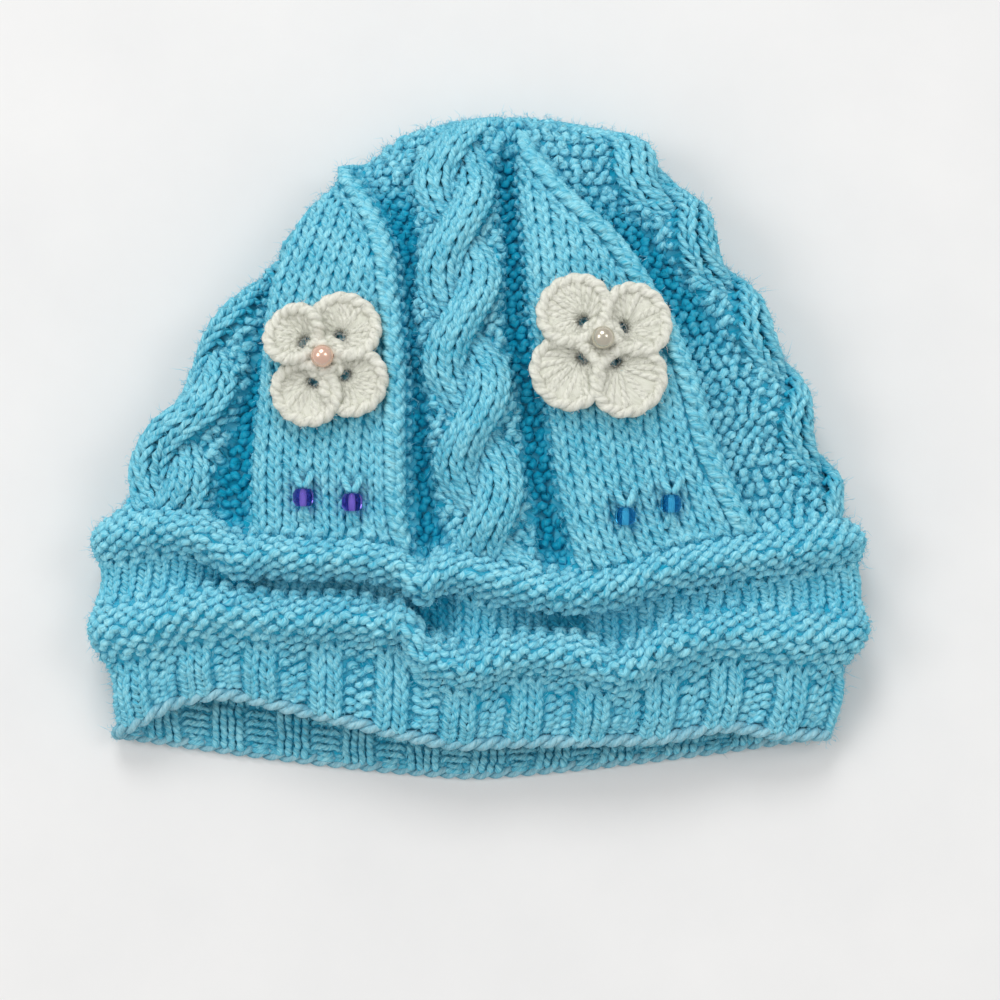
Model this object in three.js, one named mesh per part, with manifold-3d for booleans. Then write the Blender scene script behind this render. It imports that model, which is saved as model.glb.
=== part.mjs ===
// A hand-knitted cable beanie, lying on its back as it is put down: front up, crown towards +Y,
// mouth towards -Y.
// Millimetres, +Z up, origin under the middle of the hat on the surface that it lies on.
//
// The fabric has two coordinates of its own:
//   turn: the place round the hat, 0 at the front centre, 1 at the right edge, 2 at the back,
//     -1 at the left edge
//   row: knitted rows, counted from the cast-on edge up to the tip of the crown

import * as THREE from 'three';
import { mergeVertices } from 'three/addons/utils/BufferGeometryUtils.js';
import Module from 'manifold-3d';

const wasm = await Module();
wasm.setup();

// Driving dimensions
const FABRIC = 4.6; // thickness of the knitted wall, two crossing yarns
const CLEARANCE = 0.3; // between neighbouring pieces
const RIBS = 23; // knit ribs round the brim
const RIB_PHASE = -0.04; // turn of the rib nearest the front centre
const TURNS = 4; // quarters round the hat
const RIB_TURN = TURNS / RIBS;
const FRONT_REACH = 1.1; // turns from the front centre to where facets may be coarser
const FRONT_STEPS = 4; // facets to a rib where it shows
const BACK_STEPS = 2; // facets to a rib where the hat is pressed flat
// Facets across each cable, ground, panel and ground of the crown, from the back cable round to it again
const CROWN_STEPS = [5, 1, 5, 2, 8, 3, 8, 3, 8, 3, 8, 3, 8, 1, 5, 1];
const ROW_HEIGHT = 3.8;
const WELT_ROW = 2; // height of a row where the welts are pushed together
const FOLD_FADE = 10; // rows over which a fold of the upper welt dies away in the crown
const FLOOR_PRESS = 0.4; // how far the resting back is pressed flat
const MIDDLE = { x: 0.65, y: 2.94 }; // middle of the outline seen from above, where the origin lies

// Rows where one stretch of the knitting ends and the next begins
const ROWS = { castOn: 0, ribTop: 7, lowerWeltTop: 13, bandTop: 19, upperWeltTop: 25, tip: 61 };

// Middle of the fabric at each landmark row: y at the front centre, at the side edges and at the back centre,
// half width, sideways shift, and height of the front and of the side edges above the surface
const SECTIONS = [
  { row: 0, front: -86.5, side: -84, back: -96, half: 105.5, shift: -2, top: 19, edge: 7 },
  { row: 4, front: -77.5, side: -74.5, back: -86.5, half: 107.5, shift: -1, top: 23, edge: 10 },
  { row: 7, front: -67, side: -65, back: -76, half: 108.5, shift: -0.5, top: 26, edge: 13 },
  { row: 10, front: -61, side: -55, back: -65, half: 115, shift: 0, top: 35, edge: 15 },
  { row: 13, front: -54.5, side: -46.5, back: -56, half: 113, shift: 0, top: 27, edge: 15 },
  { row: 16, front: -48.5, side: -40, back: -48, half: 112.5, shift: 0.5, top: 24, edge: 15 },
  { row: 19, front: -45.5, side: -34, back: -41, half: 112, shift: 0, top: 27, edge: 16 },
  { row: 22, front: -40, side: -26.5, back: -34, half: 114, shift: 0, top: 37, edge: 17 },
  { row: 25, front: -33, side: -20, back: -27, half: 107.5, shift: -0.5, top: 32.5, edge: 17 },
  { row: 31, front: -9, side: 3, back: -8, half: 94.2, shift: 1.3, top: 35, edge: 18 },
  { row: 37, front: 14, side: 25, back: 12, half: 83.5, shift: 4.5, top: 38, edge: 19 },
  { row: 43, front: 37, side: 46, back: 33, half: 71, shift: 4, top: 38, edge: 19 },
  { row: 49, front: 60, side: 65, back: 53, half: 58.5, shift: 5.2, top: 35.5, edge: 18 },
  { row: 54, front: 78, side: 78, back: 68, half: 48, shift: 7.2, top: 30, edge: 16 },
  { row: 58, front: 95, side: 91.5, back: 81, half: 37, shift: 9, top: 22, edge: 12.5 },
  { row: 60, front: 100, side: 97, back: 88, half: 22, shift: 9, top: 14, edge: 9 },
  { row: 61, front: 96, side: 96, back: 96, half: 0, shift: 8, top: 8, edge: 8 },
];
const BOW = { front: 2, back: 1.3 }; // how a row bends towards the crown from its middle to its ends

// Soft folds across the front: place and reach across the hat, and how far the rim and each welt
// are pushed towards the crown
const FOLDS = [
  { at: -95, reach: 13, rim: 6, lower: 2, upper: 7 },
  { at: -76, reach: 22, rim: 15, lower: 10.5, upper: 5 },
  { at: -71, reach: 6, rim: 0, lower: 0, upper: -4 },
  { at: -50, reach: 14, rim: 3, lower: 1.5, upper: 0 },
  { at: -36, reach: 18, rim: 3.5, lower: 8, upper: 4.5 },
  { at: -22, reach: 4, rim: 0, lower: 5, upper: 1 },
  { at: -17, reach: 4.5, rim: 0, lower: -2.5, upper: -4.5 },
  { at: -5, reach: 11, rim: -1, lower: -5.5, upper: 2 },
  { at: 28, reach: 20, rim: 0, lower: -1.5, upper: -5 },
  { at: 42, reach: 9, rim: 0, lower: -6, upper: -1 },
  { at: 74, reach: 13, rim: 4, lower: 3.5, upper: 0.5 },
];

// Lines of the crown's pattern on the front, as turns at landmark rows: middle of the left cable, edges
// of the panel beside it, middle of the front cable, edges of its panel, and middle of the right cable.
// The panels are decreased along their right edge, and the whole pattern drifts left towards the tip.
const PATTERN = [
  [25, -0.82, -0.58, -0.165, 0.05, 0.265, 0.73, 1.03],
  [31, -0.915, -0.68, -0.225, -0.01, 0.22, 0.7, 1.03],
  [37, -0.99, -0.78, -0.29, -0.075, 0.175, 0.68, 1.03],
  [43, -1.11, -0.885, -0.355, -0.13, 0.15, 0.675, 1.02],
  [49, -1.22, -0.98, -0.505, -0.17, 0.135, 0.58, 0.98],
  [54, -1.38, -1.1, -0.82, -0.28, 0.09, 0.335, 0.9],
  [58, -1.62, -1.22, -1.17, -0.36, 0.07, 0.11, 0.86],
  [61, -1.8, -1.35, -1.33, -0.55, 0, 0.02, 0.8],
].map(([row, leftCable, leftStart, leftEnd, frontCable, rightStart, rightEnd, rightCable]) => (
  { row, leftCable, leftStart, leftEnd, frontCable, rightStart, rightEnd, rightCable }
));
const CABLE_HALF = 13.5; // half the width of a cable
const CABLE_ROWS = 7.5; // rows from one crossing to the next
const STRAND = { swing: 0.5, half: 0.6 }; // a strand's swing and half width, as shares of CABLE_HALF
const CABLE_CROSSINGS = [46.2, 49.9, 49.9, 46.2]; // a row at which each cable's strands cross
// Heights off the middle of the fabric, and the width over which one height runs into the next
const RELIEF = { panel: 2.2, strand: 4.6, crossing: 2.8, rib: 1.2, edge: 4 };
const GROUND = { wide: -2.6, narrow: -6, wideAt: 22, narrowAt: 12 }; // a narrow strip is pinched deeper
// The band sinks in the middle of the front, between these turns, save where a cable's foot is pushed up
const BAND = { pattern: 0.2, depth: 3, from: -0.85, deep: -0.55, until: 0.3, to: 0.6 };
const BAND_KNOT = { lift: 3.5, at: 0, reach: 0.06 };
const TIP_FADE = { from: 6, to: 1 }; // rows before the tip over which the relief is drawn flat
// Turns over which the relief dies away round the side edge, and its share where the back is pressed flat
const PRESSED = { from: 0.9, to: 1.25, relief: 0.25 };
// Roundness of the flattened ring, and its height as a share of its half width
const RING = { front: { power: 2.5, flatness: 0.18 }, back: { power: 3.6, flatness: 0.14 } };
const CROWN_FACETS = { outer: 23, lining: 5 }; // facets from the foot of the crown to its gathered end
const GATHERED = { outer: 0.8, lining: 1.6 }; // rows before the tip where the crown is drawn together

// Flowers: place across and along the hat, and each petal's direction, distance from the centre,
// half width and lift off the hat
const FLOWERS = [
  {
    name: 'left',
    x: -44.7,
    y: 24.6,
    petals: [
      { angle: 142, reach: 11.6, half: 7.4, lift: 2.2 },
      { angle: 57, reach: 11.2, half: 8.8, lift: 0.8 },
      { angle: -40, reach: 11.6, half: 8.4, lift: 0.3 },
      { angle: -118, reach: 11.8, half: 8.6, lift: 0.9 },
    ],
  },
  {
    name: 'right',
    x: 36.1,
    y: 29.7,
    petals: [
      { angle: 133, reach: 12.2, half: 9.4, lift: 0.9 },
      { angle: 31, reach: 12.2, half: 9.2, lift: 0.5 },
      { angle: -56, reach: 14.6, half: 9.6, lift: 0.8 },
      { angle: -136, reach: 14.4, half: 9.4, lift: 0.3 },
    ],
  },
];
const PETAL = { holeAt: 8, hole: 2, spread: 1.14, web: 1.8, rim: 3.6, sides: 10 };
const FLOWER_HEART = { radius: 5.6, taper: 0.8, height: 2.6, sides: 12 };
const FLOWER_DROOP = 0.006; // fall of a petal for each square millimetre from the centre
const PEARL = { radius: 3.4, bore: 0.6, sides: 12, steps: 7 };
const BEADS = [
  { name: 'bead_purple_1', x: -51.5, y: -15.9, colour: '#4f3fa3' },
  { name: 'bead_purple_2', x: -37.1, y: -17.3, colour: '#5a48a8' },
  { name: 'bead_blue_1', x: 43.3, y: -21.5, colour: '#1f7fc0' },
  { name: 'bead_blue_2', x: 56.8, y: -17.7, colour: '#2a86bd' },
];
const BEAD = { radius: 3.2, shoulder: 2.3, halfLength: 2.6, waist: 1.2, bore: 1, sunk: 2.6, sides: 10 };

const YARN = new THREE.MeshStandardMaterial({ color: '#63b3cb', roughness: 0.95, metalness: 0 });
const CREAM = new THREE.MeshStandardMaterial({ color: '#dedfd2', roughness: 0.9, metalness: 0 });
const PEARL_COAT = new THREE.MeshStandardMaterial({ color: '#e8d2c4', roughness: 0.2, metalness: 0 });

const clamp01 = (t) => Math.min(1, Math.max(0, t));
const smooth = (from, to, t) => {
  const s = clamp01((t - from) / (to - from));
  return s * s * (3 - 2 * s);
};
const wrapTurn = (turn) => ((((turn + 2) % TURNS) + TURNS) % TURNS) - 2;

// A table's values blended along the rows by a cubic through each of them
function blendRows(table, row) {
  const last = table.length - 2;
  let i = table.findIndex((_, k) => k <= last && row <= table[k + 1].row);
  if (i < 0) i = last;
  const [a, b, c, d] = [Math.max(i - 1, 0), i, i + 1, Math.min(i + 2, last + 1)].map((k) => table[k]);
  const span = c.row - b.row;
  const t = (row - b.row) / span;
  const blended = {};
  for (const key of Object.keys(b)) {
    const slopeIn = (span * (c[key] - a[key])) / (c.row - a.row);
    const slopeOut = (span * (d[key] - b[key])) / (d.row - b.row);
    const rise = c[key] - b[key];
    blended[key] =
      b[key] + t * (slopeIn + t * (3 * rise - 2 * slopeIn - slopeOut + t * (slopeIn + slopeOut - 2 * rise)));
  }
  return blended;
}

function sectionAt(row) {
  const section = blendRows(SECTIONS, row);
  return { ...section, half: Math.max(section.half, 0) };
}

// A quarter of the flattened ring, spaced evenly along the cloth: across runs 0 to 1, height 1 to 0
function flattenedQuarter({ power, flatness }, steps = 64) {
  const points = [{ along: 0, across: 0, height: 1 }];
  for (let k = 1; k <= steps; k++) {
    const angle = (k / steps) * (Math.PI / 2);
    const across = Math.sin(angle) ** (2 / power);
    const height = k === steps ? 0 : Math.cos(angle) ** (2 / power);
    const before = points[k - 1];
    const length = Math.hypot(across - before.across, flatness * (height - before.height));
    points.push({ along: before.along + length, across, height });
  }
  const total = points[steps].along;
  return points.map((p) => ({ ...p, along: p.along / total }));
}
const FRONT_QUARTER = flattenedQuarter(RING.front);
const BACK_QUARTER = flattenedQuarter(RING.back);

function onQuarter(quarter, along) {
  let k = 1;
  while (k < quarter.length - 1 && quarter[k].along < along) k++;
  const [a, b] = [quarter[k - 1], quarter[k]];
  const t = (along - a.along) / (b.along - a.along);
  return { across: a.across + t * (b.across - a.across), height: a.height + t * (b.height - a.height) };
}

// Where a fold pushes the fabric towards the crown: the push fades from the rim to the lower welt,
// across the band to the upper welt, and out over the foot of the crown
function foldShift(x, row) {
  const brim = smooth(ROWS.castOn, ROWS.ribTop, row);
  const band = smooth(ROWS.lowerWeltTop, ROWS.bandTop, row);
  const foot = smooth(ROWS.upperWeltTop, ROWS.upperWeltTop + FOLD_FADE, row);
  const rimShare = 1 - brim;
  const lowerShare = brim * (1 - band);
  const upperShare = band * (1 - foot);
  return FOLDS.reduce((sum, { at, reach, rim, lower, upper }) => {
    const pull = Math.exp(-(((x - at) / reach) ** 2));
    return sum + pull * (rimShare * rim + lowerShare * lower + upperShare * upper);
  }, 0);
}

// The fabric without its stitch pattern
function plainFabric(turn, row) {
  const place = wrapTurn(turn);
  const section = sectionAt(row);
  const inFront = Math.abs(place) <= 1;
  const along = inFront ? Math.abs(place) : 2 - Math.abs(place);
  const { across, height } = onQuarter(inFront ? FRONT_QUARTER : BACK_QUARTER, along);
  const x = section.shift + Math.sign(place) * section.half * across;
  const middle = inFront ? section.front : section.back;
  let y = middle + (section.side - middle) * across ** (inFront ? BOW.front : BOW.back);
  if (inFront) y += height * foldShift(x, row);
  const floor = FABRIC / 2 - FLOOR_PRESS;
  const end = inFront ? section.top : Math.min(floor, section.edge);
  return new THREE.Vector3(x, y, section.edge + (end - section.edge) * height);
}

function outward(turn, row) {
  const [du, dv] = [0.02, 0.25];
  const upTo = Math.min(row, ROWS.tip - 2 * dv);
  const round = plainFabric(turn + du, upTo).sub(plainFabric(turn - du, upTo));
  const along = plainFabric(turn, upTo + dv).sub(plainFabric(turn, upTo - dv));
  return round.cross(along).normalize();
}

// Millimetres of cloth in one turn, a quarter of the way round: half the width and the rounded edge
const EDGE_ROUND = 10;
const turnLength = (row) => sectionAt(row).half + EDGE_ROUND;

// Turns of the four cables and of the panel to the right of each, in their order round the hat;
// the back repeats the front in the room that is left there
function patternLines(row) {
  const line = blendRows(PATTERN, Math.max(row, ROWS.upperWeltTop));
  const room = (line.leftCable + TURNS - line.rightCable) / (line.rightCable - line.leftCable);
  const atBack = (turn) => line.rightCable + (turn - line.leftCable) * room;
  const panels = [
    { start: line.leftStart, end: line.leftEnd },
    { start: line.rightStart, end: line.rightEnd },
  ];
  return {
    cables: [line.leftCable, line.frontCable, line.rightCable, atBack(line.frontCable)],
    panels: [...panels, ...panels.map(({ start, end }) => ({ start: atBack(start), end: atBack(end) }))],
  };
}

// Two strands that change places: the one in front runs from lower left to upper right
function ropeHeight(offset, row, crossing) {
  const phase = (Math.PI * (row - crossing)) / CABLE_ROWS + Math.PI / 2;
  const strand = (turned) => {
    const middle = -STRAND.swing * CABLE_HALF * Math.cos(phase + turned);
    const round = 1 - ((offset - middle) / (STRAND.half * CABLE_HALF)) ** 2;
    return RELIEF.strand * round + RELIEF.crossing * Math.sin(phase + turned);
  };
  return Math.max(strand(0), strand(Math.PI), 0);
}

// How far a place lies inside a strip between two turns: 1 within it, 0 outside, with soft edges
function stripShare(turn, start, end, length, innerEdge) {
  const inside = ((end - start) / 2 - Math.abs(wrapTurn(turn - (start + end) / 2))) * length;
  return smooth(-RELIEF.edge / 2, innerEdge, inside);
}

// Raised panels, rope cables and sunk purl ground; the lining side has no rope
function patternRelief(turn, row, withRope) {
  const length = turnLength(row);
  const half = CABLE_HALF / length;
  const { cables, panels } = patternLines(row);
  const nextCables = [...cables.slice(1), cables[0] + TURNS];
  let relief = 0;
  panels.forEach(({ start, end }, k) => {
    relief += RELIEF.panel * stripShare(turn, start, end, length, RELIEF.edge);
    const strips = [[cables[k] + half, start], [end, nextCables[k] - half]];
    for (const [low, high] of strips) {
      const wide = smooth(GROUND.narrowAt, GROUND.wideAt, (high - low) * length);
      const depth = GROUND.narrow + (GROUND.wide - GROUND.narrow) * wide;
      relief += depth * stripShare(turn, low, high, length, RELIEF.edge / 2);
    }
  });
  if (withRope) {
    cables.forEach((cable, k) => {
      const offset = wrapTurn(turn - cable) * length;
      const inCable = stripShare(turn, cable - half, cable + half, length, RELIEF.edge / 2);
      relief += inCable * ropeHeight(offset, row, CABLE_CROSSINGS[k]);
    });
  }
  return relief;
}

// Depth of the recessed band, which is deepest in the middle of the front
function bandRelief(turn) {
  const place = wrapTurn(turn);
  const inMiddle = smooth(BAND.from, BAND.deep, place) * (1 - smooth(BAND.until, BAND.to, place));
  const knot = BAND_KNOT.lift * Math.exp(-((wrapTurn(turn - BAND_KNOT.at) / BAND_KNOT.reach) ** 2));
  return knot - BAND.depth * inMiddle;
}

function ribRelief(turn) {
  const phase = ((turn - RIB_PHASE) * 2 * Math.PI) / RIB_TURN;
  return RELIEF.rib * Math.sign(Math.cos(phase)) * Math.sqrt(Math.abs(Math.cos(phase)));
}

function reliefAt(turn, row, withRope) {
  const inRib = 1 - smooth(ROWS.ribTop - 2, ROWS.ribTop, row);
  const overWelt = smooth(ROWS.lowerWeltTop, ROWS.lowerWeltTop + 2, row);
  const inBand = overWelt * (1 - smooth(ROWS.bandTop - 1, ROWS.bandTop + 1, row));
  const inCrown = smooth(ROWS.upperWeltTop - 1, ROWS.upperWeltTop + 1.5, row);
  const beforeTip = 1 - smooth(ROWS.tip - TIP_FADE.from, ROWS.tip - TIP_FADE.to, row);
  const pattern = patternRelief(turn, row, withRope) * Math.max(BAND.pattern * inBand, inCrown * beforeTip);
  const relief = inRib * ribRelief(turn) + inBand * bandRelief(turn) + pattern;
  const pressed = smooth(PRESSED.from, PRESSED.to, Math.abs(wrapTurn(turn)));
  return relief * (1 + (PRESSED.relief - 1) * pressed);
}

// A point on the outer face (side 1) or on the lining face (side -1), never below the surface it lies on
function fabricPoint(turn, row, side) {
  const depth = reliefAt(turn, row, side > 0) + (side * FABRIC) / 2;
  const point = plainFabric(turn, row).addScaledVector(outward(turn, row), depth);
  point.z = Math.max(point.z, side > 0 ? 0 : FABRIC - FLOOR_PRESS);
  return point;
}

// Facet lines of the brim, finer on the front
const RIB_LINES = [];
for (let rib = 0; rib < RIBS; rib++) {
  const centre = RIB_PHASE + (rib - Math.floor(RIBS / 2)) * RIB_TURN;
  const steps = Math.abs(centre) < FRONT_REACH ? FRONT_STEPS : BACK_STEPS;
  for (let k = 0; k < steps; k++) RIB_LINES.push(centre + ((k + 0.5) / steps - 0.5) * RIB_TURN);
}
const SEGMENTS = RIB_LINES.length;

// Facet lines of the crown, which follow the edges of its cables and panels, from the back round to the back
function crownLines(row) {
  const { cables, panels } = patternLines(row);
  const half = CABLE_HALF / turnLength(row);
  const edges = [];
  for (let k = -1; k < 3; k++) {
    const [from, quarter] = k < 0 ? [-TURNS, 3] : [0, k];
    const { start, end } = panels[quarter];
    edges.push(from + cables[quarter] - half, from + cables[quarter] + half, from + start, from + end);
  }
  edges.push(cables[3] - half);
  return CROWN_STEPS.flatMap((steps, k) => {
    const width = (edges[k + 1] - edges[k]) / steps;
    return Array.from({ length: steps }, (_, step) => edges[k] + width * step);
  });
}

// Facet lines at any row: the brim's run over into the crown's across the lower welt
function facetLines(row) {
  const share = smooth(ROWS.ribTop, ROWS.lowerWeltTop, row);
  return crownLines(row).map((turn, k) => RIB_LINES[k] + share * (turn - RIB_LINES[k]));
}

function meshGeometry(points, triangles) {
  const geometry = new THREE.BufferGeometry();
  const flat = points.flatMap((p) => [p.x, p.y, p.z]);
  geometry.setAttribute('position', new THREE.Float32BufferAttribute(flat, 3));
  geometry.setIndex(triangles);
  return geometry;
}

// A closed wall between two rows: outer face, lining face and the two knitted ends
function wallGeometry(outerRows, liningRows, tips = []) {
  const points = [];
  const triangles = [];
  const rings = [];
  const addRing = (row, side) => {
    rings.push(points.length);
    facetLines(row).forEach((turn) => points.push(fabricPoint(turn, row, side)));
  };
  outerRows.forEach((row) => addRing(row, 1));
  [...liningRows].reverse().forEach((row) => addRing(row, -1));
  const closedAtTip = tips.length > 0;
  const turnBack = outerRows.length - 1;
  for (let r = 0; r < rings.length; r++) {
    if (closedAtTip && r === turnBack) continue;
    const next = rings[(r + 1) % rings.length];
    for (let i = 0; i < SEGMENTS; i++) {
      const j = (i + 1) % SEGMENTS;
      const [a, b, c, d] = [rings[r] + i, rings[r] + j, next + j, next + i];
      const atStart = r === rings.length - 1; // split as the end that it faces, so that the two stay parallel
      triangles.push(...(atStart ? [a, b, d, b, c, d] : [a, b, c, a, c, d]));
    }
  }
  if (closedAtTip) {
    const [outerTip, liningTip] = tips.map((tip) => points.push(tip) - 1);
    for (let i = 0; i < SEGMENTS; i++) {
      const j = (i + 1) % SEGMENTS;
      triangles.push(rings[turnBack] + i, rings[turnBack] + j, outerTip);
      triangles.push(rings[turnBack + 1] + j, rings[turnBack + 1] + i, liningTip);
    }
  }
  return meshGeometry(points, triangles);
}

const END_GAP = CLEARANCE / 2 / WELT_ROW; // half the clearance, in rows

function rowsBetween(from, to, count) {
  return Array.from({ length: count + 1 }, (_, k) => from + ((to - from) * k) / count);
}

function knittedWall(name, from, to, outerSteps, liningSteps) {
  const [start, end] = [from === ROWS.castOn ? from : from + END_GAP, to - END_GAP];
  const geometry = wallGeometry(rowsBetween(start, end, outerSteps), rowsBetween(start, end, liningSteps));
  return namedMesh(name, geometry, YARN);
}

function crownWall() {
  const start = ROWS.upperWeltTop + END_GAP;
  const tip = plainFabric(0, ROWS.tip);
  const inwards = new THREE.Vector3(0, 1, -0.2).normalize().multiplyScalar(FABRIC / 2);
  const tips = [tip.clone().add(inwards), tip.clone().sub(inwards)];
  const outerRows = rowsBetween(start, ROWS.tip - GATHERED.outer, CROWN_FACETS.outer);
  const liningRows = rowsBetween(start, ROWS.tip - GATHERED.lining, CROWN_FACETS.lining);
  const wall = toSolid(wallGeometry(outerRows, liningRows, tips));
  const pockets = BEADS.map(({ x, y }) => toSolid(beadPocket(x, y)));
  const geometry = fromSolid(pockets.reduce((solid, pocket) => solid.subtract(pocket), wall));
  return namedMesh('crown', geometry, YARN);
}

function namedMesh(name, geometry, material) {
  const mesh = new THREE.Mesh(geometry, material);
  mesh.name = name;
  return mesh;
}

// Finds the fabric under a place seen from above, and how the surface faces there
function seatAt(x, y) {
  let turn = x / turnLength(ROWS.upperWeltTop);
  let row = ROWS.upperWeltTop + (y - sectionAt(ROWS.upperWeltTop).front) / ROW_HEIGHT;
  const step = 0.05;
  for (let pass = 0; pass < 12; pass++) {
    const here = fabricPoint(turn, row, 1);
    const aside = fabricPoint(turn + step, row, 1).sub(here).divideScalar(step);
    const ahead = fabricPoint(turn, row + step, 1).sub(here).divideScalar(step);
    const area = aside.x * ahead.y - aside.y * ahead.x;
    const [dx, dy] = [x - here.x, y - here.y];
    turn += (dx * ahead.y - dy * ahead.x) / area;
    row += (dy * aside.x - dx * aside.y) / area;
  }
  return { point: fabricPoint(turn, row, 1), facing: outward(turn, row) };
}

function toSolid(geometry) {
  const bare = geometry.clone();
  bare.deleteAttribute('normal');
  bare.deleteAttribute('uv');
  const merged = mergeVertices(bare, 1e-4);
  const vertProperties = new Float32Array(merged.attributes.position.array);
  const triVerts = new Uint32Array(merged.index.array);
  return new wasm.Manifold(new wasm.Mesh({ numProp: 3, vertProperties, triVerts }));
}

function fromSolid(solid) {
  const { vertProperties, triVerts } = solid.getMesh();
  const geometry = new THREE.BufferGeometry();
  geometry.setAttribute('position', new THREE.BufferAttribute(vertProperties, 3));
  geometry.setIndex(new THREE.BufferAttribute(triVerts, 1));
  return geometry;
}

// One crocheted petal: a thin dished web with a corded rim, open at its foot
function petalGeometry(petal) {
  const profile = [
    { out: 0, height: 0 },
    { out: 0, height: PETAL.web },
    { out: 0.55, height: PETAL.web },
    { out: 0.84, height: PETAL.rim },
    { out: 1, height: PETAL.rim * 0.55 },
    { out: 0.9, height: 0 },
  ];
  const direction = THREE.MathUtils.degToRad(petal.angle);
  const points = [];
  const triangles = [];
  for (let k = 0; k < PETAL.sides; k++) {
    const angle = (k * 2 * Math.PI) / PETAL.sides;
    const offset = petal.reach - PETAL.holeAt;
    const toRim = offset * Math.cos(angle) + Math.sqrt(petal.half ** 2 - (offset * Math.sin(angle)) ** 2);
    for (const { out, height } of profile) {
      const radius = PETAL.hole + out * (toRim - PETAL.hole);
      const along = PETAL.holeAt + radius * Math.cos(angle);
      const aside = PETAL.spread * radius * Math.sin(angle);
      const lifted = height + petal.lift * clamp01(along / petal.reach);
      points.push(new THREE.Vector3(
        along * Math.cos(direction) - aside * Math.sin(direction),
        along * Math.sin(direction) + aside * Math.cos(direction),
        lifted - FLOWER_DROOP * (along * along + aside * aside),
      ));
    }
    const count = profile.length;
    const after = ((k + 1) % PETAL.sides) * count;
    for (let p = 0; p < count; p++) {
      const q = (p + 1) % count;
      triangles.push(k * count + p, after + q, after + p, k * count + p, k * count + q, after + q);
    }
  }
  return meshGeometry(points, triangles);
}

function flowerGeometry(flower) {
  const { radius, taper, height, sides } = FLOWER_HEART;
  const heart = new THREE.CylinderGeometry(radius * taper, radius, height, sides);
  heart.rotateX(Math.PI / 2).translate(0, 0, height / 2);
  const petals = flower.petals.map((petal) => toSolid(petalGeometry(petal)));
  return fromSolid(petals.reduce((sum, petal) => sum.add(petal), toSolid(heart)));
}

// How far a piece has to rise to clear the fabric under each of its corners
function liftToClear(group, geometry) {
  group.updateMatrixWorld(true);
  const corner = new THREE.Vector3();
  let lift = 0;
  for (let k = 0; k < geometry.attributes.position.count; k++) {
    corner.fromBufferAttribute(geometry.attributes.position, k).applyMatrix4(group.matrixWorld);
    const seat = seatAt(corner.x, corner.y);
    const height = corner.sub(seat.point).dot(seat.facing);
    lift = Math.max(lift, CLEARANCE - height);
  }
  return lift;
}

// A group whose own +Z stands off the fabric and whose +Y points along the knitted columns
function seatedGroup(x, y) {
  const { point, facing } = seatAt(x, y);
  const across = new THREE.Vector3(0, 1, 0).cross(facing).normalize();
  const along = facing.clone().cross(across);
  const group = new THREE.Group();
  group.quaternion.setFromRotationMatrix(new THREE.Matrix4().makeBasis(across, along, facing));
  group.position.copy(point);
  return { group, facing };
}

function sewnFlower(flower) {
  const { group, facing } = seatedGroup(flower.x, flower.y);
  const geometry = flowerGeometry(flower);
  group.position.addScaledVector(facing, liftToClear(group, geometry));
  const pearl = namedMesh('pearl_' + flower.name, pearlGeometry(), PEARL_COAT);
  pearl.position.z = FLOWER_HEART.height + CLEARANCE + PEARL.radius;
  group.add(namedMesh('flower_' + flower.name, geometry, CREAM), pearl);
  return group;
}

// A drilled ball whose thread hole runs across the flower
function pearlGeometry() {
  const limit = Math.acos(PEARL.bore / PEARL.radius);
  const profile = [];
  for (let k = 0; k <= PEARL.steps; k++) {
    const angle = -limit + (2 * limit * k) / PEARL.steps;
    profile.push(new THREE.Vector2(PEARL.radius * Math.cos(angle), PEARL.radius * Math.sin(angle)));
  }
  profile.push(profile[0].clone());
  return new THREE.LatheGeometry(profile, PEARL.sides).rotateZ(Math.PI / 2);
}

// Where a bead lies: its middle stands off the fabric by less than its radius, so that it is half sunk
function seatedBead(x, y) {
  const { group, facing } = seatedGroup(x, y);
  group.position.addScaledVector(facing, BEAD.radius - BEAD.sunk);
  return group;
}

function beadGeometry(grown = 0) {
  const { radius, shoulder, halfLength, waist, bore, sides } = BEAD;
  const outline = [
    [shoulder, -halfLength],
    [radius, -waist],
    [radius, waist],
    [shoulder, halfLength],
  ].map(([r, h]) => new THREE.Vector2(r + grown, h + Math.sign(h) * grown));
  const inner = grown > 0 ? 0 : bore;
  const ends = [-1, 1].map((end) => new THREE.Vector2(inner, end * (halfLength + grown)));
  const closed = grown > 0 ? [ends[0], ...outline, ends[1]] : [ends[0], ...outline, ends[1], ends[0]];
  return new THREE.LatheGeometry(closed, sides);
}

// The hollow that a bead presses into the stitches
function beadPocket(x, y) {
  const group = seatedBead(x, y);
  group.updateMatrixWorld(true);
  return beadGeometry(CLEARANCE).applyMatrix4(group.matrixWorld);
}

// A faceted glass bead, drilled along the knitted column so that the yarn runs through it
function knittedBead({ name, x, y, colour }) {
  const glass = new THREE.MeshStandardMaterial({ color: colour, roughness: 0.1, metalness: 0 });
  const group = seatedBead(x, y);
  group.add(namedMesh(name, beadGeometry(), glass));
  return group;
}

const beanie = new THREE.Group();
beanie.position.set(-MIDDLE.x, -MIDDLE.y, 0);
beanie.add(
  knittedWall('ribbed_brim', ROWS.castOn, ROWS.ribTop, 3, 2),
  knittedWall('lower_welt', ROWS.ribTop, ROWS.lowerWeltTop, 5, 2),
  knittedWall('band', ROWS.lowerWeltTop, ROWS.bandTop, 3, 2),
  knittedWall('upper_welt', ROWS.bandTop, ROWS.upperWeltTop, 5, 2),
  crownWall(),
  ...FLOWERS.map(sewnFlower),
  ...BEADS.map(knittedBead),
);

export default beanie;
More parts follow.
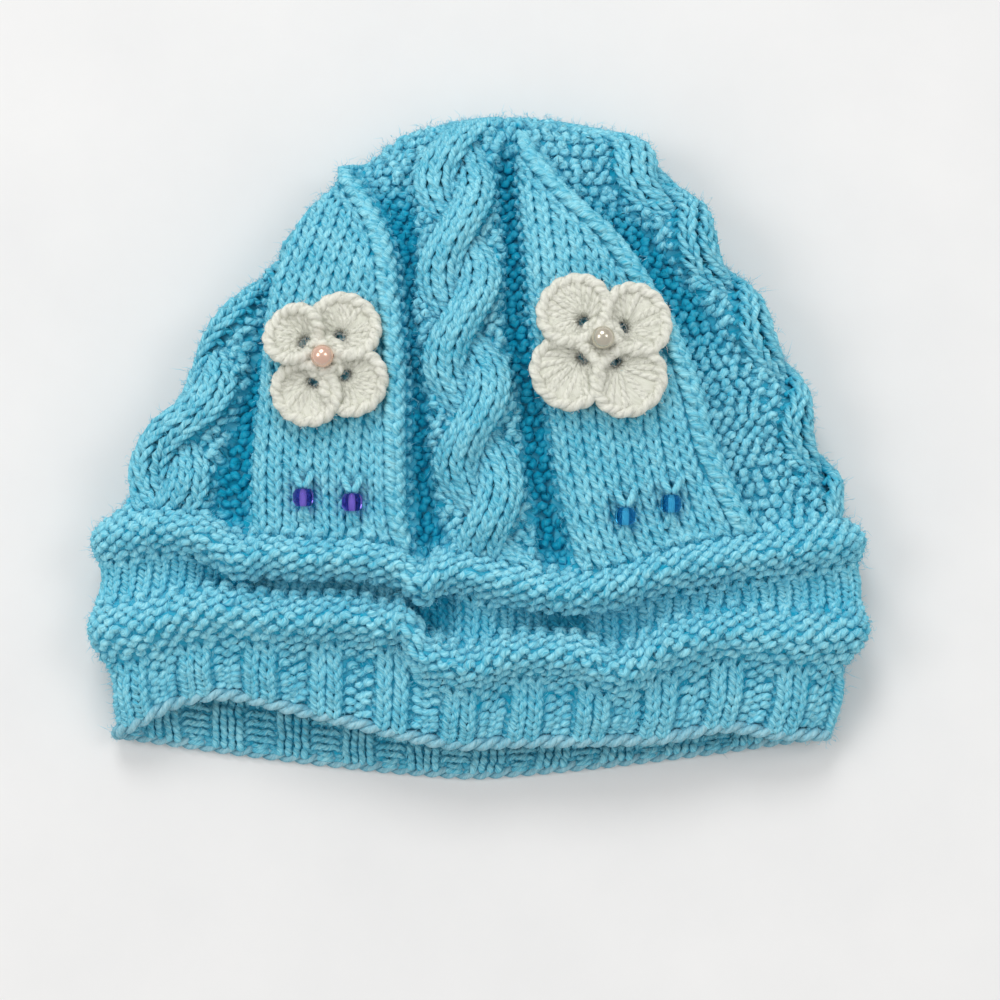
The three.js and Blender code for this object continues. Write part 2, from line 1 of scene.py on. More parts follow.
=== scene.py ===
# %% [markdown]
# # A cable knit beanie, stitch by stitch
#
# The hat lies on its back on a pale table. Its construction is already settled: the frame holds the brim,
# the two rolled welts, the band between them, the crown, two flowers, two pearls and four glass beads as
# plain solids. This lesson dresses them. The knitted solids are replaced by real loops of yarn, because
# what the eye reads in knitting is the yarn itself: V-shaped legs, purl bumps and ropes of cable, and a
# haze of loose fibre.

# %% Load the frame
import math

import bmesh
import bpy
import numpy as np
from mathutils import Matrix, Vector


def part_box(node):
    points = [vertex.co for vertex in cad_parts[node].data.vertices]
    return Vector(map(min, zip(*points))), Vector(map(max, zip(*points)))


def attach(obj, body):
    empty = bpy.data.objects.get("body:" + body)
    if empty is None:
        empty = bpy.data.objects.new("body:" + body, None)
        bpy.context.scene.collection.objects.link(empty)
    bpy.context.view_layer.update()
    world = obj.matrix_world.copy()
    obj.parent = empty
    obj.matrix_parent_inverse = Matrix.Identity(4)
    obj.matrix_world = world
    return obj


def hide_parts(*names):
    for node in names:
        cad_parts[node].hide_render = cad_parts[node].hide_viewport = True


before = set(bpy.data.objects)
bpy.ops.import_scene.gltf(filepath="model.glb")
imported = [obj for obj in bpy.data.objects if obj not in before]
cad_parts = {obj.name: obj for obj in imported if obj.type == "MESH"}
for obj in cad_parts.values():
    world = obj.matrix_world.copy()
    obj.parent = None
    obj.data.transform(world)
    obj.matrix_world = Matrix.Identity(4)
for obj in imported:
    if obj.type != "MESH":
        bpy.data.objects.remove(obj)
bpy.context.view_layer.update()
MM = 0.001
random = np.random.default_rng(27)

# %% [markdown]
# ## Camera, table and light
#
# The photograph looks almost straight down, leaning a little towards the brim. A long lens far away keeps
# the outline free of perspective. One frame of 1000 pixels spans 300 mm at the height of the hat's edges.

# %% Camera
FRAME_MM = 300.0
SENSOR_MM = 36.0
CAMERA_DISTANCE = 1.2
CAMERA_ELEVATION = math.radians(85)
LOOK_AT = np.array([5.79, -17.91, 17.0]) * MM

camera_data = bpy.data.cameras.new("camera")
camera_data.sensor_width = SENSOR_MM
camera_data.lens = SENSOR_MM * CAMERA_DISTANCE / (FRAME_MM * MM)
camera = bpy.data.objects.new("camera", camera_data)
bpy.context.scene.collection.objects.link(camera)
towards_camera = np.array([0, -math.cos(CAMERA_ELEVATION), math.sin(CAMERA_ELEVATION)])
camera.location = LOOK_AT + CAMERA_DISTANCE * towards_camera
camera.rotation_euler = (math.pi / 2 - CAMERA_ELEVATION, 0, 0)
bpy.context.scene.camera = camera
bpy.context.scene.view_settings.view_transform = "Standard"
print("camera: lens", round(camera_data.lens, 1), "mm")

# %% [markdown]
# Materials share two small helpers: one turns an sRGB hex value into the linear colour that shaders use,
# and one adds a node with its settings and links.

# %% Colour and node helpers


def linear(hex_colour):
    """Turn an sRGB hex value such as #63b3cb into a linear RGBA colour."""
    channels = [int(hex_colour[k : k + 2], 16) / 255 for k in (1, 3, 5)]
    return [c / 12.92 if c <= 0.04045 else ((c + 0.055) / 1.055) ** 2.4 for c in channels] + [1.0]


def add_node(tree, kind, settings=None, inputs=None):
    """Add a shader node, set its properties, and set or link its inputs."""
    node = tree.nodes.new(kind)
    for name, value in (settings or {}).items():
        setattr(node, name, value)
    for name, value in (inputs or {}).items():
        if isinstance(value, bpy.types.NodeSocket):
            tree.links.new(value, node.inputs[name])
        else:
            node.inputs[name].default_value = value
    return node


def new_material(name):
    """Start an empty node material and return it with its tree."""
    material = bpy.data.materials.new(name)
    material.use_nodes = True
    material.node_tree.nodes.clear()
    return material, material.node_tree


def finish_material(tree, shader):
    """Link a finished shader to the material output."""
    add_node(tree, "ShaderNodeOutputMaterial", inputs={"Surface": shader.outputs[0]})


# %% Table
FLOOR_MM = 1600


def painted_board():
    """Matt white paint on board: a trace of mottling and no gloss."""
    material, tree = new_material("matt white paint")
    place = add_node(tree, "ShaderNodeTexCoord")
    mottle = add_node(tree, "ShaderNodeTexNoise", inputs={
        "Vector": place.outputs["Object"], "Scale": 1000 / 60, "Detail": 5.0, "Roughness": 0.6})
    tint = add_node(tree, "ShaderNodeMix", {"data_type": "RGBA"}, {
        "Factor": mottle.outputs["Fac"], "A": linear("#e7e8e8"), "B": linear("#f3f3f2")})
    shader = add_node(tree, "ShaderNodeBsdfPrincipled", inputs={
        "Base Color": tint.outputs["Result"], "Roughness": 0.9, "Specular IOR Level": 0.2})
    finish_material(tree, shader)
    return material


bpy.ops.object.select_all(action="DESELECT")
bpy.ops.mesh.primitive_plane_add(size=FLOOR_MM * MM, location=(0, 0, 0))
table = bpy.context.object
table.name = "table"
table.data.materials.append(painted_board())

# %% [markdown]
# The light is soft and comes from three sides: the pearls mirror three pale spots, one above and two
# beside each other. The strongest lamp stands low beyond the crown, so the welts shade the band below
# them. The rest is the even light of a bright room.

# %% Light
ROOM_LIGHT = 0.61
LAMPS = [
    # name, place in metres, size in metres, watts
    ("crown_side_lamp", (-0.4, 1.9, 2.0), 1.3, 25),
    ("left_lamp", (-1.9, 0.3, 2.2), 1.3, 15),
    ("right_lamp", (1.5, 0.5, 2.2), 1.1, 8),
]
for name, place, size, watts in LAMPS:
    lamp = bpy.data.lights.new(name, "AREA")
    lamp.shape = "DISK"
    lamp.size = size
    lamp.energy = watts
    holder = bpy.data.objects.new(name, lamp)
    holder.location = place
    holder.rotation_euler = (-Vector(place)).to_track_quat("-Z", "Y").to_euler()
    bpy.context.scene.collection.objects.link(holder)
world = bpy.data.worlds.new("bright room")
world.use_nodes = True
world.node_tree.nodes["Background"].inputs["Color"].default_value = (1.0, 0.985, 0.98, 1.0)
world.node_tree.nodes["Background"].inputs["Strength"].default_value = ROOM_LIGHT
bpy.context.scene.world = world
print("lamps:", [name for name, *_ in LAMPS])

# %% [markdown]
# ## The fabric as a surface
#
# A hat has two coordinates of its own, the ones a knitter counts: the place round it and the row. Here
# turn is 0 at the front centre, 1 at the right edge, 2 at the back and -1 at the left edge, and row runs
# from 0 at the cast-on edge to 61 at the tip. The table gives the middle of the fabric at landmark rows,
# in millimetres.

# %% Landmark rows
CAST_ON, RIB_TOP, LOWER_WELT_TOP, BAND_TOP, UPPER_WELT_TOP, TIP = 0, 7, 13, 19, 25, 61
FABRIC = 4.6
FLOOR_PRESS = 0.4
MIDDLE = np.array([0.65, 2.94, 0.0])
SECTION_COLUMNS = ("row", "front", "side", "back", "half", "shift", "top", "edge")
SECTIONS = np.array([
    (0, -86.5, -84, -96, 105.5, -2, 19, 7),
    (4, -77.5, -74.5, -86.5, 107.5, -1, 23, 10),
    (7, -67, -65, -76, 108.5, -0.5, 26, 13),
    (10, -61, -55, -65, 115, 0, 35, 15),
    (13, -54.5, -46.5, -56, 113, 0, 27, 15),
    (16, -48.5, -40, -48, 112.5, 0.5, 24, 15),
    (19, -45.5, -34, -41, 112, 0, 27, 16),
    (22, -40, -26.5, -34, 114, 0, 37, 17),
    (25, -33, -20, -27, 107.5, -0.5, 32.5, 17),
    (31, -9, 3, -8, 94.2, 1.3, 35, 18),
    (37, 14, 25, 12, 83.5, 4.5, 38, 19),
    (43, 37, 46, 33, 71, 4, 38, 19),
    (49, 60, 65, 53, 58.5, 5.2, 35.5, 18),
    (54, 78, 78, 68, 48, 7.2, 30, 16),
    (58, 95, 91.5, 81, 37, 9, 22, 12.5),
    (60, 100, 97, 88, 22, 9, 14, 9),
    (61, 96, 96, 96, 0, 8, 8, 8),
])
FOLD_FADE = 10
FOLDS = [
    # place, reach, and push towards the crown at the rim, the lower welt and the upper welt
    (-95, 13, 6, 2, 7),
    (-76, 22, 15, 10.5, 5),
    (-71, 6, 0, 0, -4),
    (-50, 14, 3, 1.5, 0),
    (-36, 18, 3.5, 8, 4.5),
    (-22, 4, 0, 5, 1),
    (-17, 4.5, 0, -2.5, -4.5),
    (-5, 11, -1, -5.5, 2),
    (28, 20, 0, -1.5, -5),
    (42, 9, 0, -6, -1),
    (74, 13, 4, 3.5, 0.5),
]
print("sections:", len(SECTIONS), "folds:", len(FOLDS))

# %% Blending along the rows


def smooth(start, end, value):
    """Run from 0 to 1 between two values, with flat ends."""
    s = np.clip((value - start) / (end - start), 0, 1)
    return s * s * (3 - 2 * s)


def wrap(turn):
    """Bring a turn into the range from -2 to 2."""
    return (turn + 2) % 4 - 2


def unit(vectors):
    """Vectors of length one."""
    return vectors / np.maximum(np.linalg.norm(vectors, axis=-1, keepdims=True), 1e-9)


def blend(table, names, row):
    """Blend the rows of a table by a cubic through each value; the first column holds the rows."""
    row = np.asarray(row, float)
    knots = table[:, 0]
    b = np.clip(np.searchsorted(knots, row, side="left") - 1, 0, len(knots) - 2)
    a, c, d = np.maximum(b - 1, 0), b + 1, np.minimum(b + 2, len(knots) - 1)
    span = knots[c] - knots[b]
    t = (row - knots[b]) / span
    blended = {}
    for k, name in enumerate(names[1:], 1):
        column = table[:, k]
        slope_in = span * (column[c] - column[a]) / (knots[c] - knots[a])
        slope_out = span * (column[d] - column[b]) / (knots[d] - knots[b])
        rise = column[c] - column[b]
        bend = 3 * rise - 2 * slope_in - slope_out + t * (slope_in + slope_out - 2 * rise)
        blended[name] = column[b] + t * (slope_in + t * bend)
    return blended


def sections_at(row):
    """The shape of the hat at a row."""
    section = blend(SECTIONS, SECTION_COLUMNS, row)
    section["half"] = np.maximum(section["half"], 0)
    return section


# %% [markdown]
# Each row is a flattened ring: rounder in front, where the cloth is puffed up, and boxier behind, where
# it lies on the table. Soft folds push parts of the front towards the crown.

# %% The flattened ring


def flattened_quarter(power, flatness, steps=64):
    """A quarter of a flattened ring, spaced evenly along the cloth."""
    angle = np.linspace(0, math.pi / 2, steps + 1)
    across = np.sin(angle) ** (2 / power)
    height = np.clip(np.cos(angle), 0, 1) ** (2 / power)
    height[-1] = 0
    lengths = np.hypot(np.diff(across), flatness * np.diff(height))
    along = np.concatenate([[0], np.cumsum(lengths)])
    return along / along[-1], across, height


FRONT_BOW, BACK_BOW = 2, 1.3  # how a row bends towards the crown from its middle to its ends
FRONT_QUARTER = flattened_quarter(2.5, 0.18)
BACK_QUARTER = flattened_quarter(3.6, 0.14)


def fold_shift(x, row):
    """How far the soft folds push the front towards the crown."""
    brim = smooth(CAST_ON, RIB_TOP, row)
    band = smooth(LOWER_WELT_TOP, BAND_TOP, row)
    foot = smooth(UPPER_WELT_TOP, UPPER_WELT_TOP + FOLD_FADE, row)
    push = 0
    for place, reach, rim, lower, upper in FOLDS:
        share = np.exp(-((x - place) / reach) ** 2)
        push = push + share * ((1 - brim) * rim + brim * (1 - band) * lower + band * (1 - foot) * upper)
    return push


def plain_fabric(turn, row):
    """The middle of the fabric without its stitch pattern, in millimetres."""
    place = wrap(turn)
    section = sections_at(row)
    in_front = np.abs(place) <= 1
    along = np.where(in_front, np.abs(place), 2 - np.abs(place))
    across = np.where(in_front, np.interp(along, FRONT_QUARTER[0], FRONT_QUARTER[1]),
                      np.interp(along, BACK_QUARTER[0], BACK_QUARTER[1]))
    height = np.where(in_front, np.interp(along, FRONT_QUARTER[0], FRONT_QUARTER[2]),
                      np.interp(along, BACK_QUARTER[0], BACK_QUARTER[2]))
    x = section["shift"] + np.sign(place) * section["half"] * across
    middle = np.where(in_front, section["front"], section["back"])
    y = middle + (section["side"] - middle) * across ** np.where(in_front, FRONT_BOW, BACK_BOW)
    y = y + np.where(in_front, height * fold_shift(x, row), 0)
    end = np.where(in_front, section["top"], np.minimum(FABRIC / 2 - FLOOR_PRESS, section["edge"]))
    z = section["edge"] + (end - section["edge"]) * height
    return np.stack([x, y, z], axis=-1) - MIDDLE


def outward(turn, row):
    """The direction in which the outer face looks."""
    round_step, row_step = 0.02, 0.25
    row = np.minimum(row, TIP - 2 * row_step)
    round_way = plain_fabric(turn + round_step, row) - plain_fabric(turn - round_step, row)
    row_way = plain_fabric(turn, row + row_step) - plain_fabric(turn, row - row_step)
    return unit(np.cross(round_way, row_way))


print("front centre of the rim:", plain_fabric(np.array(0.0), np.array(0.0)).round(1))

# %% [markdown]
# ## The stitch pattern
#
# Four rope cables run up the crown. To the right of each lies a raised panel of stocking stitch, which is
# decreased along its right edge until it is gone, and sunk purl ground fills the rest. The whole pattern
# drifts to the left towards the tip. The table says where each line of it lies on the front. The back
# repeats the front in the room that is left there. Heights are taken off the middle of the fabric.

# %% Lines of the pattern
PATTERN_COLUMNS = ("row", "left_cable", "left_start", "left_end", "front_cable", "right_start", "right_end",
                   "right_cable")
PATTERN = np.array([
    (25, -0.82, -0.58, -0.165, 0.05, 0.265, 0.73, 1.03),
    (31, -0.915, -0.68, -0.225, -0.01, 0.22, 0.7, 1.03),
    (37, -0.99, -0.78, -0.29, -0.075, 0.175, 0.68, 1.03),
    (43, -1.11, -0.885, -0.355, -0.13, 0.15, 0.675, 1.02),
    (49, -1.22, -0.98, -0.505, -0.17, 0.135, 0.58, 0.98),
    (54, -1.38, -1.1, -0.82, -0.28, 0.09, 0.335, 0.9),
    (58, -1.62, -1.22, -1.17, -0.36, 0.07, 0.11, 0.86),
    (61, -1.8, -1.35, -1.33, -0.55, 0.0, 0.02, 0.8),
])
CABLE_HALF = 13.5
EDGE_ROUND = 10


def turn_length(row):
    """Millimetres of cloth in one turn."""
    return sections_at(row)["half"] + EDGE_ROUND


def pattern_lines(row):
    """Turns of the four cables' middles and of the four panels' edges, in their order round the hat."""
    line = blend(PATTERN, PATTERN_COLUMNS, np.maximum(row, UPPER_WELT_TOP))
    left, right = line["left_cable"], line["right_cable"]
    room = (left + 4 - right) / (right - left)

    def at_back(turn):
        return right + (turn - left) * room

    front = [(line["left_start"], line["left_end"]), (line["right_start"], line["right_end"])]
    back = [(at_back(start), at_back(end)) for start, end in front]
    return [left, line["front_cable"], right, at_back(line["front_cable"])], front + back


# %% [markdown]
# The glass beads are knitted in and half sunk, so the stitches give way under them. Each bead's place
# comes from its own solid in the frame.

# %% Relief
PANEL_LIFT, RIB_LIFT = 2.2, 1.2
WIDE_GROUND, NARROW_GROUND = -2.6, -6.0  # a narrow strip of ground is pinched deeper than a wide one
CHAIN_LIFT, CHAIN_AT, CHAIN_REACH = 2.6, 3.4, 2.6  # the chain of decreases along a panel's right edge
NARROW_WIDTH, WIDE_WIDTH = 12, 22
RELIEF_EDGE = 4
BACK_RELIEF, PRESSED_FROM, PRESSED_TO = 0.25, 0.9, 1.25  # the relief dies away round the side edge, in turns
TIP_FADE = (6, 1)  # rows before the tip over which the relief is drawn flat
BAND_RELIEF = 0.2
BAND_DEPTH = 3.0  # the band sinks between the welts in the middle of the front
BAND_SINKS, BAND_RISES = (-0.85, -0.55), (0.3, 0.6)  # turns over which it goes down and comes up again
BAND_KNOT, KNOT_TURN, KNOT_REACH = 4.5, 0.0, 0.06  # foot of the front cable, pushed up in the band
BEAD_NODES = ("bead_purple_1", "bead_purple_2", "bead_blue_1", "bead_blue_2")
DIMPLE_DEPTH, DIMPLE_REACH = 3.2, 3.2
BEAD_STAND = 4.5  # from the middle of a bead to the middle of the fabric under it


def middle_of(node):
    """Middle of a node's box in millimetres."""
    low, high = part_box(node)
    return (np.array(low) + np.array(high)) / 2 / MM


BEAD_MIDDLES = {node: middle_of(node) for node in BEAD_NODES}


def bead_dimple(turn, row):
    """How far the stitches give way under the beads."""
    point = plain_fabric(turn, row)
    depth = 0
    for middle in BEAD_MIDDLES.values():
        apart = np.linalg.norm(point - middle, axis=-1)
        depth = depth + DIMPLE_DEPTH * np.exp(-((np.maximum(apart - BEAD_STAND, 0) / DIMPLE_REACH) ** 2))
    return depth


def strip_share(turn, start, end, length, inner_edge):
    """1 inside a strip of the pattern, 0 outside it, with soft edges."""
    inside = ((end - start) / 2 - np.abs(wrap(turn - (start + end) / 2))) * length
    return smooth(-RELIEF_EDGE / 2, inner_edge, inside)


def pattern_lift(turn, row):
    """Raised panels and sunk ground, without the ropes."""
    length = turn_length(row)
    half = CABLE_HALF
    cables, panels = pattern_lines(row)
    cables = cables + [cables[0] + 4]
    lift = 0
    for k, (start, end) in enumerate(panels):
        lift = lift + PANEL_LIFT * strip_share(turn, start, end, length, RELIEF_EDGE)
        from_edge = wrap(end - turn) * length
        lift = lift + CHAIN_LIFT * np.exp(-(((from_edge - CHAIN_AT) / CHAIN_REACH) ** 2))
        for low, high in ((cables[k] + half / length, start), (end, cables[k + 1] - half / length)):
            wide = smooth(NARROW_WIDTH, WIDE_WIDTH, (high - low) * length)
            depth = NARROW_GROUND + (WIDE_GROUND - NARROW_GROUND) * wide
            lift = lift + depth * strip_share(turn, low, high, length, RELIEF_EDGE / 2)
    return lift


def pressed(turn):
    """How much of the relief is left where the back lies on the table."""
    return 1 + (BACK_RELIEF - 1) * smooth(PRESSED_FROM, PRESSED_TO, np.abs(wrap(turn)))


def before_tip(row):
    """How much of the crown's relief is left before it is drawn together at the tip."""
    return 1 - smooth(TIP - TIP_FADE[0], TIP - TIP_FADE[1], row)


def relief(turn, row):
    """Height of the fabric's middle off the plain shape."""
    over_welt = smooth(LOWER_WELT_TOP, LOWER_WELT_TOP + 2, row)
    in_band = over_welt * (1 - smooth(BAND_TOP - 1, BAND_TOP + 1, row))
    in_crown = smooth(UPPER_WELT_TOP - 1, UPPER_WELT_TOP + 1.5, row)
    share = np.maximum(BAND_RELIEF * in_band, in_crown * before_tip(row))
    knot = BAND_KNOT * np.exp(-((wrap(turn - KNOT_TURN) / KNOT_REACH) ** 2))
    in_middle = smooth(*BAND_SINKS, wrap(turn)) * (1 - smooth(*BAND_RISES, wrap(turn)))
    sunk = (knot - BAND_DEPTH * in_middle) * in_band
    return (pattern_lift(turn, row) * share + sunk) * pressed(turn) - bead_dimple(turn, row)


print("beads at", {node: place.round(1).tolist() for node, place in BEAD_MIDDLES.items()})

# %% [markdown]
# ## One stitch, then all of them
#
# A knitted loop rises on one leg, turns at its head and comes down on the other leg. Seen from the
# outside, a knit stitch shows its two legs as a V, and a purl stitch shows its head and feet as bumps,
# because it is the same loop pushed the other way through the fabric. A row is a chain of such loops, so
# a run of stitches is one path, and a tube round that path is the yarn. The tubes are made as arrays and
# joined into a mesh for each piece: thousands of loops by hand or by a modifier would be slow, and each
# loop has to follow the fabric.

# %% A pile of yarn
TABLE_CLEARANCE = 0.02
END_BULGE = 0.6  # how far a blunt end of yarn bulges, in radii
SKIN_TONE, SKIN_RIDGES = 0.4, 6  # how far out a skin counts for its painted light and shade, and twists of yarn shown across it
OUTER_REACH, MOST_OUTER = 2.0, 1.2  # height in mm at which yarn gets its full painted light, and the palest share


def lengthwise_frame(path, normals, closed):
    """Directions along a path, up from it towards the normals, and to its side."""
    ahead = np.roll(path, -1, axis=0)
    behind = np.roll(path, 1, axis=0)
    if not closed:
        ahead[-1], behind[0] = path[-1], path[0]
    tangent = unit(ahead - behind)
    side = unit(np.cross(tangent, normals))
    return tangent, np.cross(side, tangent), side


class YarnPile:
    """Collects tubes and skins in millimetres and turns them into one mesh."""

    def __init__(self, two_faced=False):
        self.two_faced = two_faced
        self.points, self.ways, self.outer, self.upright = [], [], [], []
        self.quads, self.quad_uvs, self.fans = [], [], []
        self.count = 0

    def add_points(self, points, ways=0.0, outer=0.0, upright=1.0):
        """Add points with the way each looks, how far out it lies, and how far the fabric looks up there."""
        shape = points.shape[:-1]
        points = points.reshape(-1, 3).copy()
        points[:, 2] = np.maximum(points[:, 2], TABLE_CLEARANCE)
        numbers = np.arange(len(points)).reshape(shape) + self.count
        self.points.append(points)
        self.ways.append(np.broadcast_to(ways, shape + (3,)).reshape(-1, 3))
        self.outer.append(np.broadcast_to(outer, shape).ravel())
        self.upright.append(np.broadcast_to(upright, shape).ravel())
        self.count += len(points)
        return numbers

    def add_quads(self, numbers, along, around, closed):
        """Join rings of points, each ring to the next, with their places along and around for the UV map."""
        last = len(numbers) if closed else len(numbers) - 1
        ahead = np.roll(numbers, -1, axis=0)
        quads = np.stack([numbers, np.roll(numbers, -1, 1), np.roll(ahead, -1, 1), ahead], axis=-1)[:last]
        sides = numbers.shape[1]
        low, high = (np.repeat(part[:, None], sides, 1) for part in (along[:last], along[1 : last + 1]))
        here, after = (np.repeat(part[None, :], last, 0) for part in (around[:-1], around[1:]))
        corners = [(low, here), (low, after), (high, after), (high, here)]
        self.quads.append(quads.reshape(-1, 4))
        self.quad_uvs.append(np.stack([np.stack(corner, -1) for corner in corners], axis=2).reshape(-1, 4, 2))

    def add_tube(self, path, normals, radii, sides, closed, rise=0.0):
        """Add a tube round a path, with blunt ends where it is open; rise is its height in the fabric."""
        tangent, up, side = lengthwise_frame(path, normals, closed)
        angle = np.arange(sides) * (2 * math.pi / sides)
        ways = np.cos(angle)[None, :, None] * up[:, None, :] + np.sin(angle)[None, :, None] * side[:, None, :]
        facing = (ways * normals[:, None, :]).sum(-1)
        height = np.broadcast_to(rise, len(path))[:, None] + radii[:, None] * facing
        if self.two_faced:
            height = np.abs(height)
        # how far out a point lies sets its painted light and shade in the yarn's colour
        outer = np.clip(0.5 + 0.5 * height / OUTER_REACH, 0, MOST_OUTER)
        numbers = self.add_points(path[:, None, :] + radii[:, None, None] * ways, ways, outer,
                                  normals[:, None, 2])
        lengths = np.linalg.norm(np.diff(path, axis=0, append=path[:1]), axis=1)
        along = random.uniform(0, 50) + np.concatenate([[0], np.cumsum(lengths)])
        self.add_quads(numbers, along, np.arange(sides + 1) / sides, closed)
        if not closed:
            self.add_end(path[0] - END_BULGE * radii[0] * tangent[0], numbers[0][::-1])
            self.add_end(path[-1] + END_BULGE * radii[-1] * tangent[-1], numbers[-1])

    def add_end(self, point, corners):
        """Close an open end by a fan to one point."""
        number = self.add_points(point[None, :])
        self.fans.append(np.stack([np.repeat(number, len(corners)), corners, np.roll(corners, -1)], axis=-1))

    def add_skin(self, rings, tone=SKIN_TONE):
        """Add a closed skin from rings of points, the last ring joined to the first."""
        numbers = self.add_points(rings, outer=tone)
        along, around = (np.arange(size + 1.0) for size in numbers.shape)
        around = around * SKIN_RIDGES / len(rings[0])
        self.add_quads(numbers, along, around, True)

    def triangles(self):
        """Triangles in the finished mesh."""
        return 2 * sum(map(len, self.quads)) + sum(map(len, self.fans))

    def to_object(self, name, material):
        """Build the mesh, with smooth faces and a UV map in millimetres along and turns around the yarn."""
        fans = np.concatenate(self.fans) if self.fans else np.zeros((0, 3), int)
        quads = np.concatenate(self.quads) if self.quads else np.zeros((0, 4), int)
        corners = np.concatenate([quads.ravel(), fans.ravel()])
        uvs = np.zeros((len(corners), 2))
        if self.quad_uvs:
            uvs[: quads.size] = np.concatenate(self.quad_uvs).reshape(-1, 2)
        sizes = np.concatenate([np.full(len(quads), 4), np.full(len(fans), 3)])
        mesh = bpy.data.meshes.new(name)
        mesh.vertices.add(self.count)
        mesh.vertices.foreach_set("co", (np.concatenate(self.points) * MM).astype(np.float32).ravel())
        mesh.loops.add(len(corners))
        mesh.loops.foreach_set("vertex_index", corners.astype(np.int32))
        mesh.polygons.add(len(sizes))
        mesh.polygons.foreach_set("loop_start", (np.cumsum(sizes) - sizes).astype(np.int32))
        mesh.polygons.foreach_set("use_smooth", np.ones(len(sizes), bool))
        mesh.uv_layers.new(name="yarn").data.foreach_set("uv", uvs.astype(np.float32).ravel())
        outer = mesh.attributes.new("outer", "FLOAT", "POINT")
        outer.data.foreach_set("value", np.concatenate(self.outer).astype(np.float32))
        mesh.update(calc_edges=True)
        mesh.validate()
        mesh.materials.append(material)
        piece = bpy.data.objects.new(name, mesh)
        bpy.context.scene.collection.objects.link(piece)
        print(name, self.triangles(), "triangles")
        return piece


# %% The loop
YARN_RADIUS = 1.0
FULLNESS = {True: 0.06, False: 0.36}  # how much thicker the yarn is on the outside of a knit or purl loop
LOOP_DEPTH = 1.25  # how far legs and heads stand off the middle of the fabric
LOOP_HEIGHT = {True: 2.1, False: 1.5}  # rows from the feet of a knit or purl loop to its head
LOOP_WAIST = {True: 0.25, False: 0.12}  # how far the legs lean in at the foot, in stitch widths
PURL_FOOT = 0.9  # the feet of a purl loop stand off the fabric less than its head
KNIT_GATHER = 0.05  # how far the two legs of a knit loop draw together, in stitch widths
PURL_SLANT = (-0.02, 0.2)  # least and most that a purl bump rises to the right, in rows
PURL_BREADTH = 1.15  # purl bumps are broad on top
BUMP_STEPS = 0.4  # how much closer the steps along a purl loop are at its bumps
SUNK_TONE, SUNK_FROM = 1.0, 2.6  # stitches sunk deeper than this get more painted shade
FRONT_STEPS, PURL_STEPS, FRONT_SIDES = 10, 12, 5  # steps along a loop and sides of its yarn
BACK_STEPS, BACK_SIDES = 6, 4
LAST_ROW = TIP - 0.2  # no loop reaches past this row
TABLE_PRESS = 0.8  # share of its radius that yarn keeps where it is pressed on the table
FRONT_REACH = 1.15  # turns from the front centre to where the stitches may be coarser
# Hand knitting is uneven: sideways in stitches, rise in rows and depth in mm, of a knit or purl loop
UNEVEN = {True: np.array([0.04, 0.06, 0.15]), False: np.array([0.07, 0.1, 0.2])}


def loop_shape(steps, knit, knit_before, knit_after, slant):
    """Sideways place, rise in rows and depth along one loop.

    A knit loop shows its legs and a purl loop its bumps, which rise by a slant.
    """
    t = np.linspace(0, 2 * math.pi, steps + 1)
    if not knit:
        t = t - 0.5 * BUMP_STEPS * np.sin(2 * t)
    gather, slant = (KNIT_GATHER, 0.0) if knit else (0.0, slant)
    aside = t / (2 * math.pi) + LOOP_WAIST[knit] * np.sin(2 * t) + gather * np.sin(t)
    rise = -0.5 * LOOP_HEIGHT[knit] * np.cos(t) + slant * np.sin(2 * t)
    legs, head = (1.0, -1.0) if knit else (-1.0, 1.0)
    foot = -1.0 if knit else PURL_FOOT
    foot_left = foot if knit_before == knit else 0.0
    foot_right = foot if knit_after == knit else 0.0
    ends = np.where(t < math.pi / 2, foot_left, np.where(t > 1.5 * math.pi, foot_right, head))
    wave = ((1 - np.cos(2 * t)) / 2) ** (1.0 if knit else PURL_BREADTH)
    return aside, rise, LOOP_DEPTH * (ends + (legs - ends) * wave)


def knit_run(pile, row, bounds, knits, lift, closed, last_thick=1.0, tone=0.0):
    """Knit one run of stitches; bounds gives the edges of its columns, in turns, for any rows."""
    count = len(knits)
    edges_here = bounds(np.array([row]))[0]
    parts = []
    for k in range(count):
        before = knits[k - 1] if (k > 0 or closed) else knits[k]
        after = knits[(k + 1) % count] if (k < count - 1 or closed) else knits[k]
        in_front = pile.two_faced or abs(wrap((edges_here[k] + edges_here[k + 1]) / 2)) < FRONT_REACH
        steps = BACK_STEPS if not in_front else FRONT_STEPS if knits[k] else PURL_STEPS
        aside, rise, depth = loop_shape(steps, knits[k], before, after, random.uniform(*PURL_SLANT))
        shake = random.normal(0, 1, 3) * UNEVEN[knits[k]]
        swing = np.sin(math.pi * np.clip(aside, 0, 1))
        rows = np.clip(row + rise + shake[1] * swing, 0.0, LAST_ROW)
        edges = bounds(rows)
        turn = edges[:, k] + (aside + shake[0] * swing) * (edges[:, k + 1] - edges[:, k])
        bulge = np.abs(depth) if pile.two_faced else depth
        full = (last_thick if k == count - 1 else 1.0) * (1 + FULLNESS[knits[k]] * bulge / LOOP_DEPTH)
        stitch = np.stack([turn, rows, depth + shake[2] * swing, full], axis=-1)
        parts.append(stitch[:-1])
    if not closed:
        parts.append(stitch[-1:])
    turn, rows, depth, full = np.concatenate(parts).T
    normals = outward(turn, rows)
    height = lift(turn, rows)
    path = plain_fabric(turn, rows) + normals * (height + depth)[:, None]
    radii = YARN_RADIUS * full
    path[:, 2] = np.maximum(path[:, 2], TABLE_PRESS * radii)
    sides = FRONT_SIDES if closed or abs(wrap(edges_here.mean())) < FRONT_REACH else BACK_SIDES
    # rise sets the painted light and shade: the tone and the depth of sinking shift it
    rise = depth + tone + SUNK_TONE * np.minimum(height + SUNK_FROM, 0)
    pile.add_tube(path, normals, radii, sides, closed, rise)


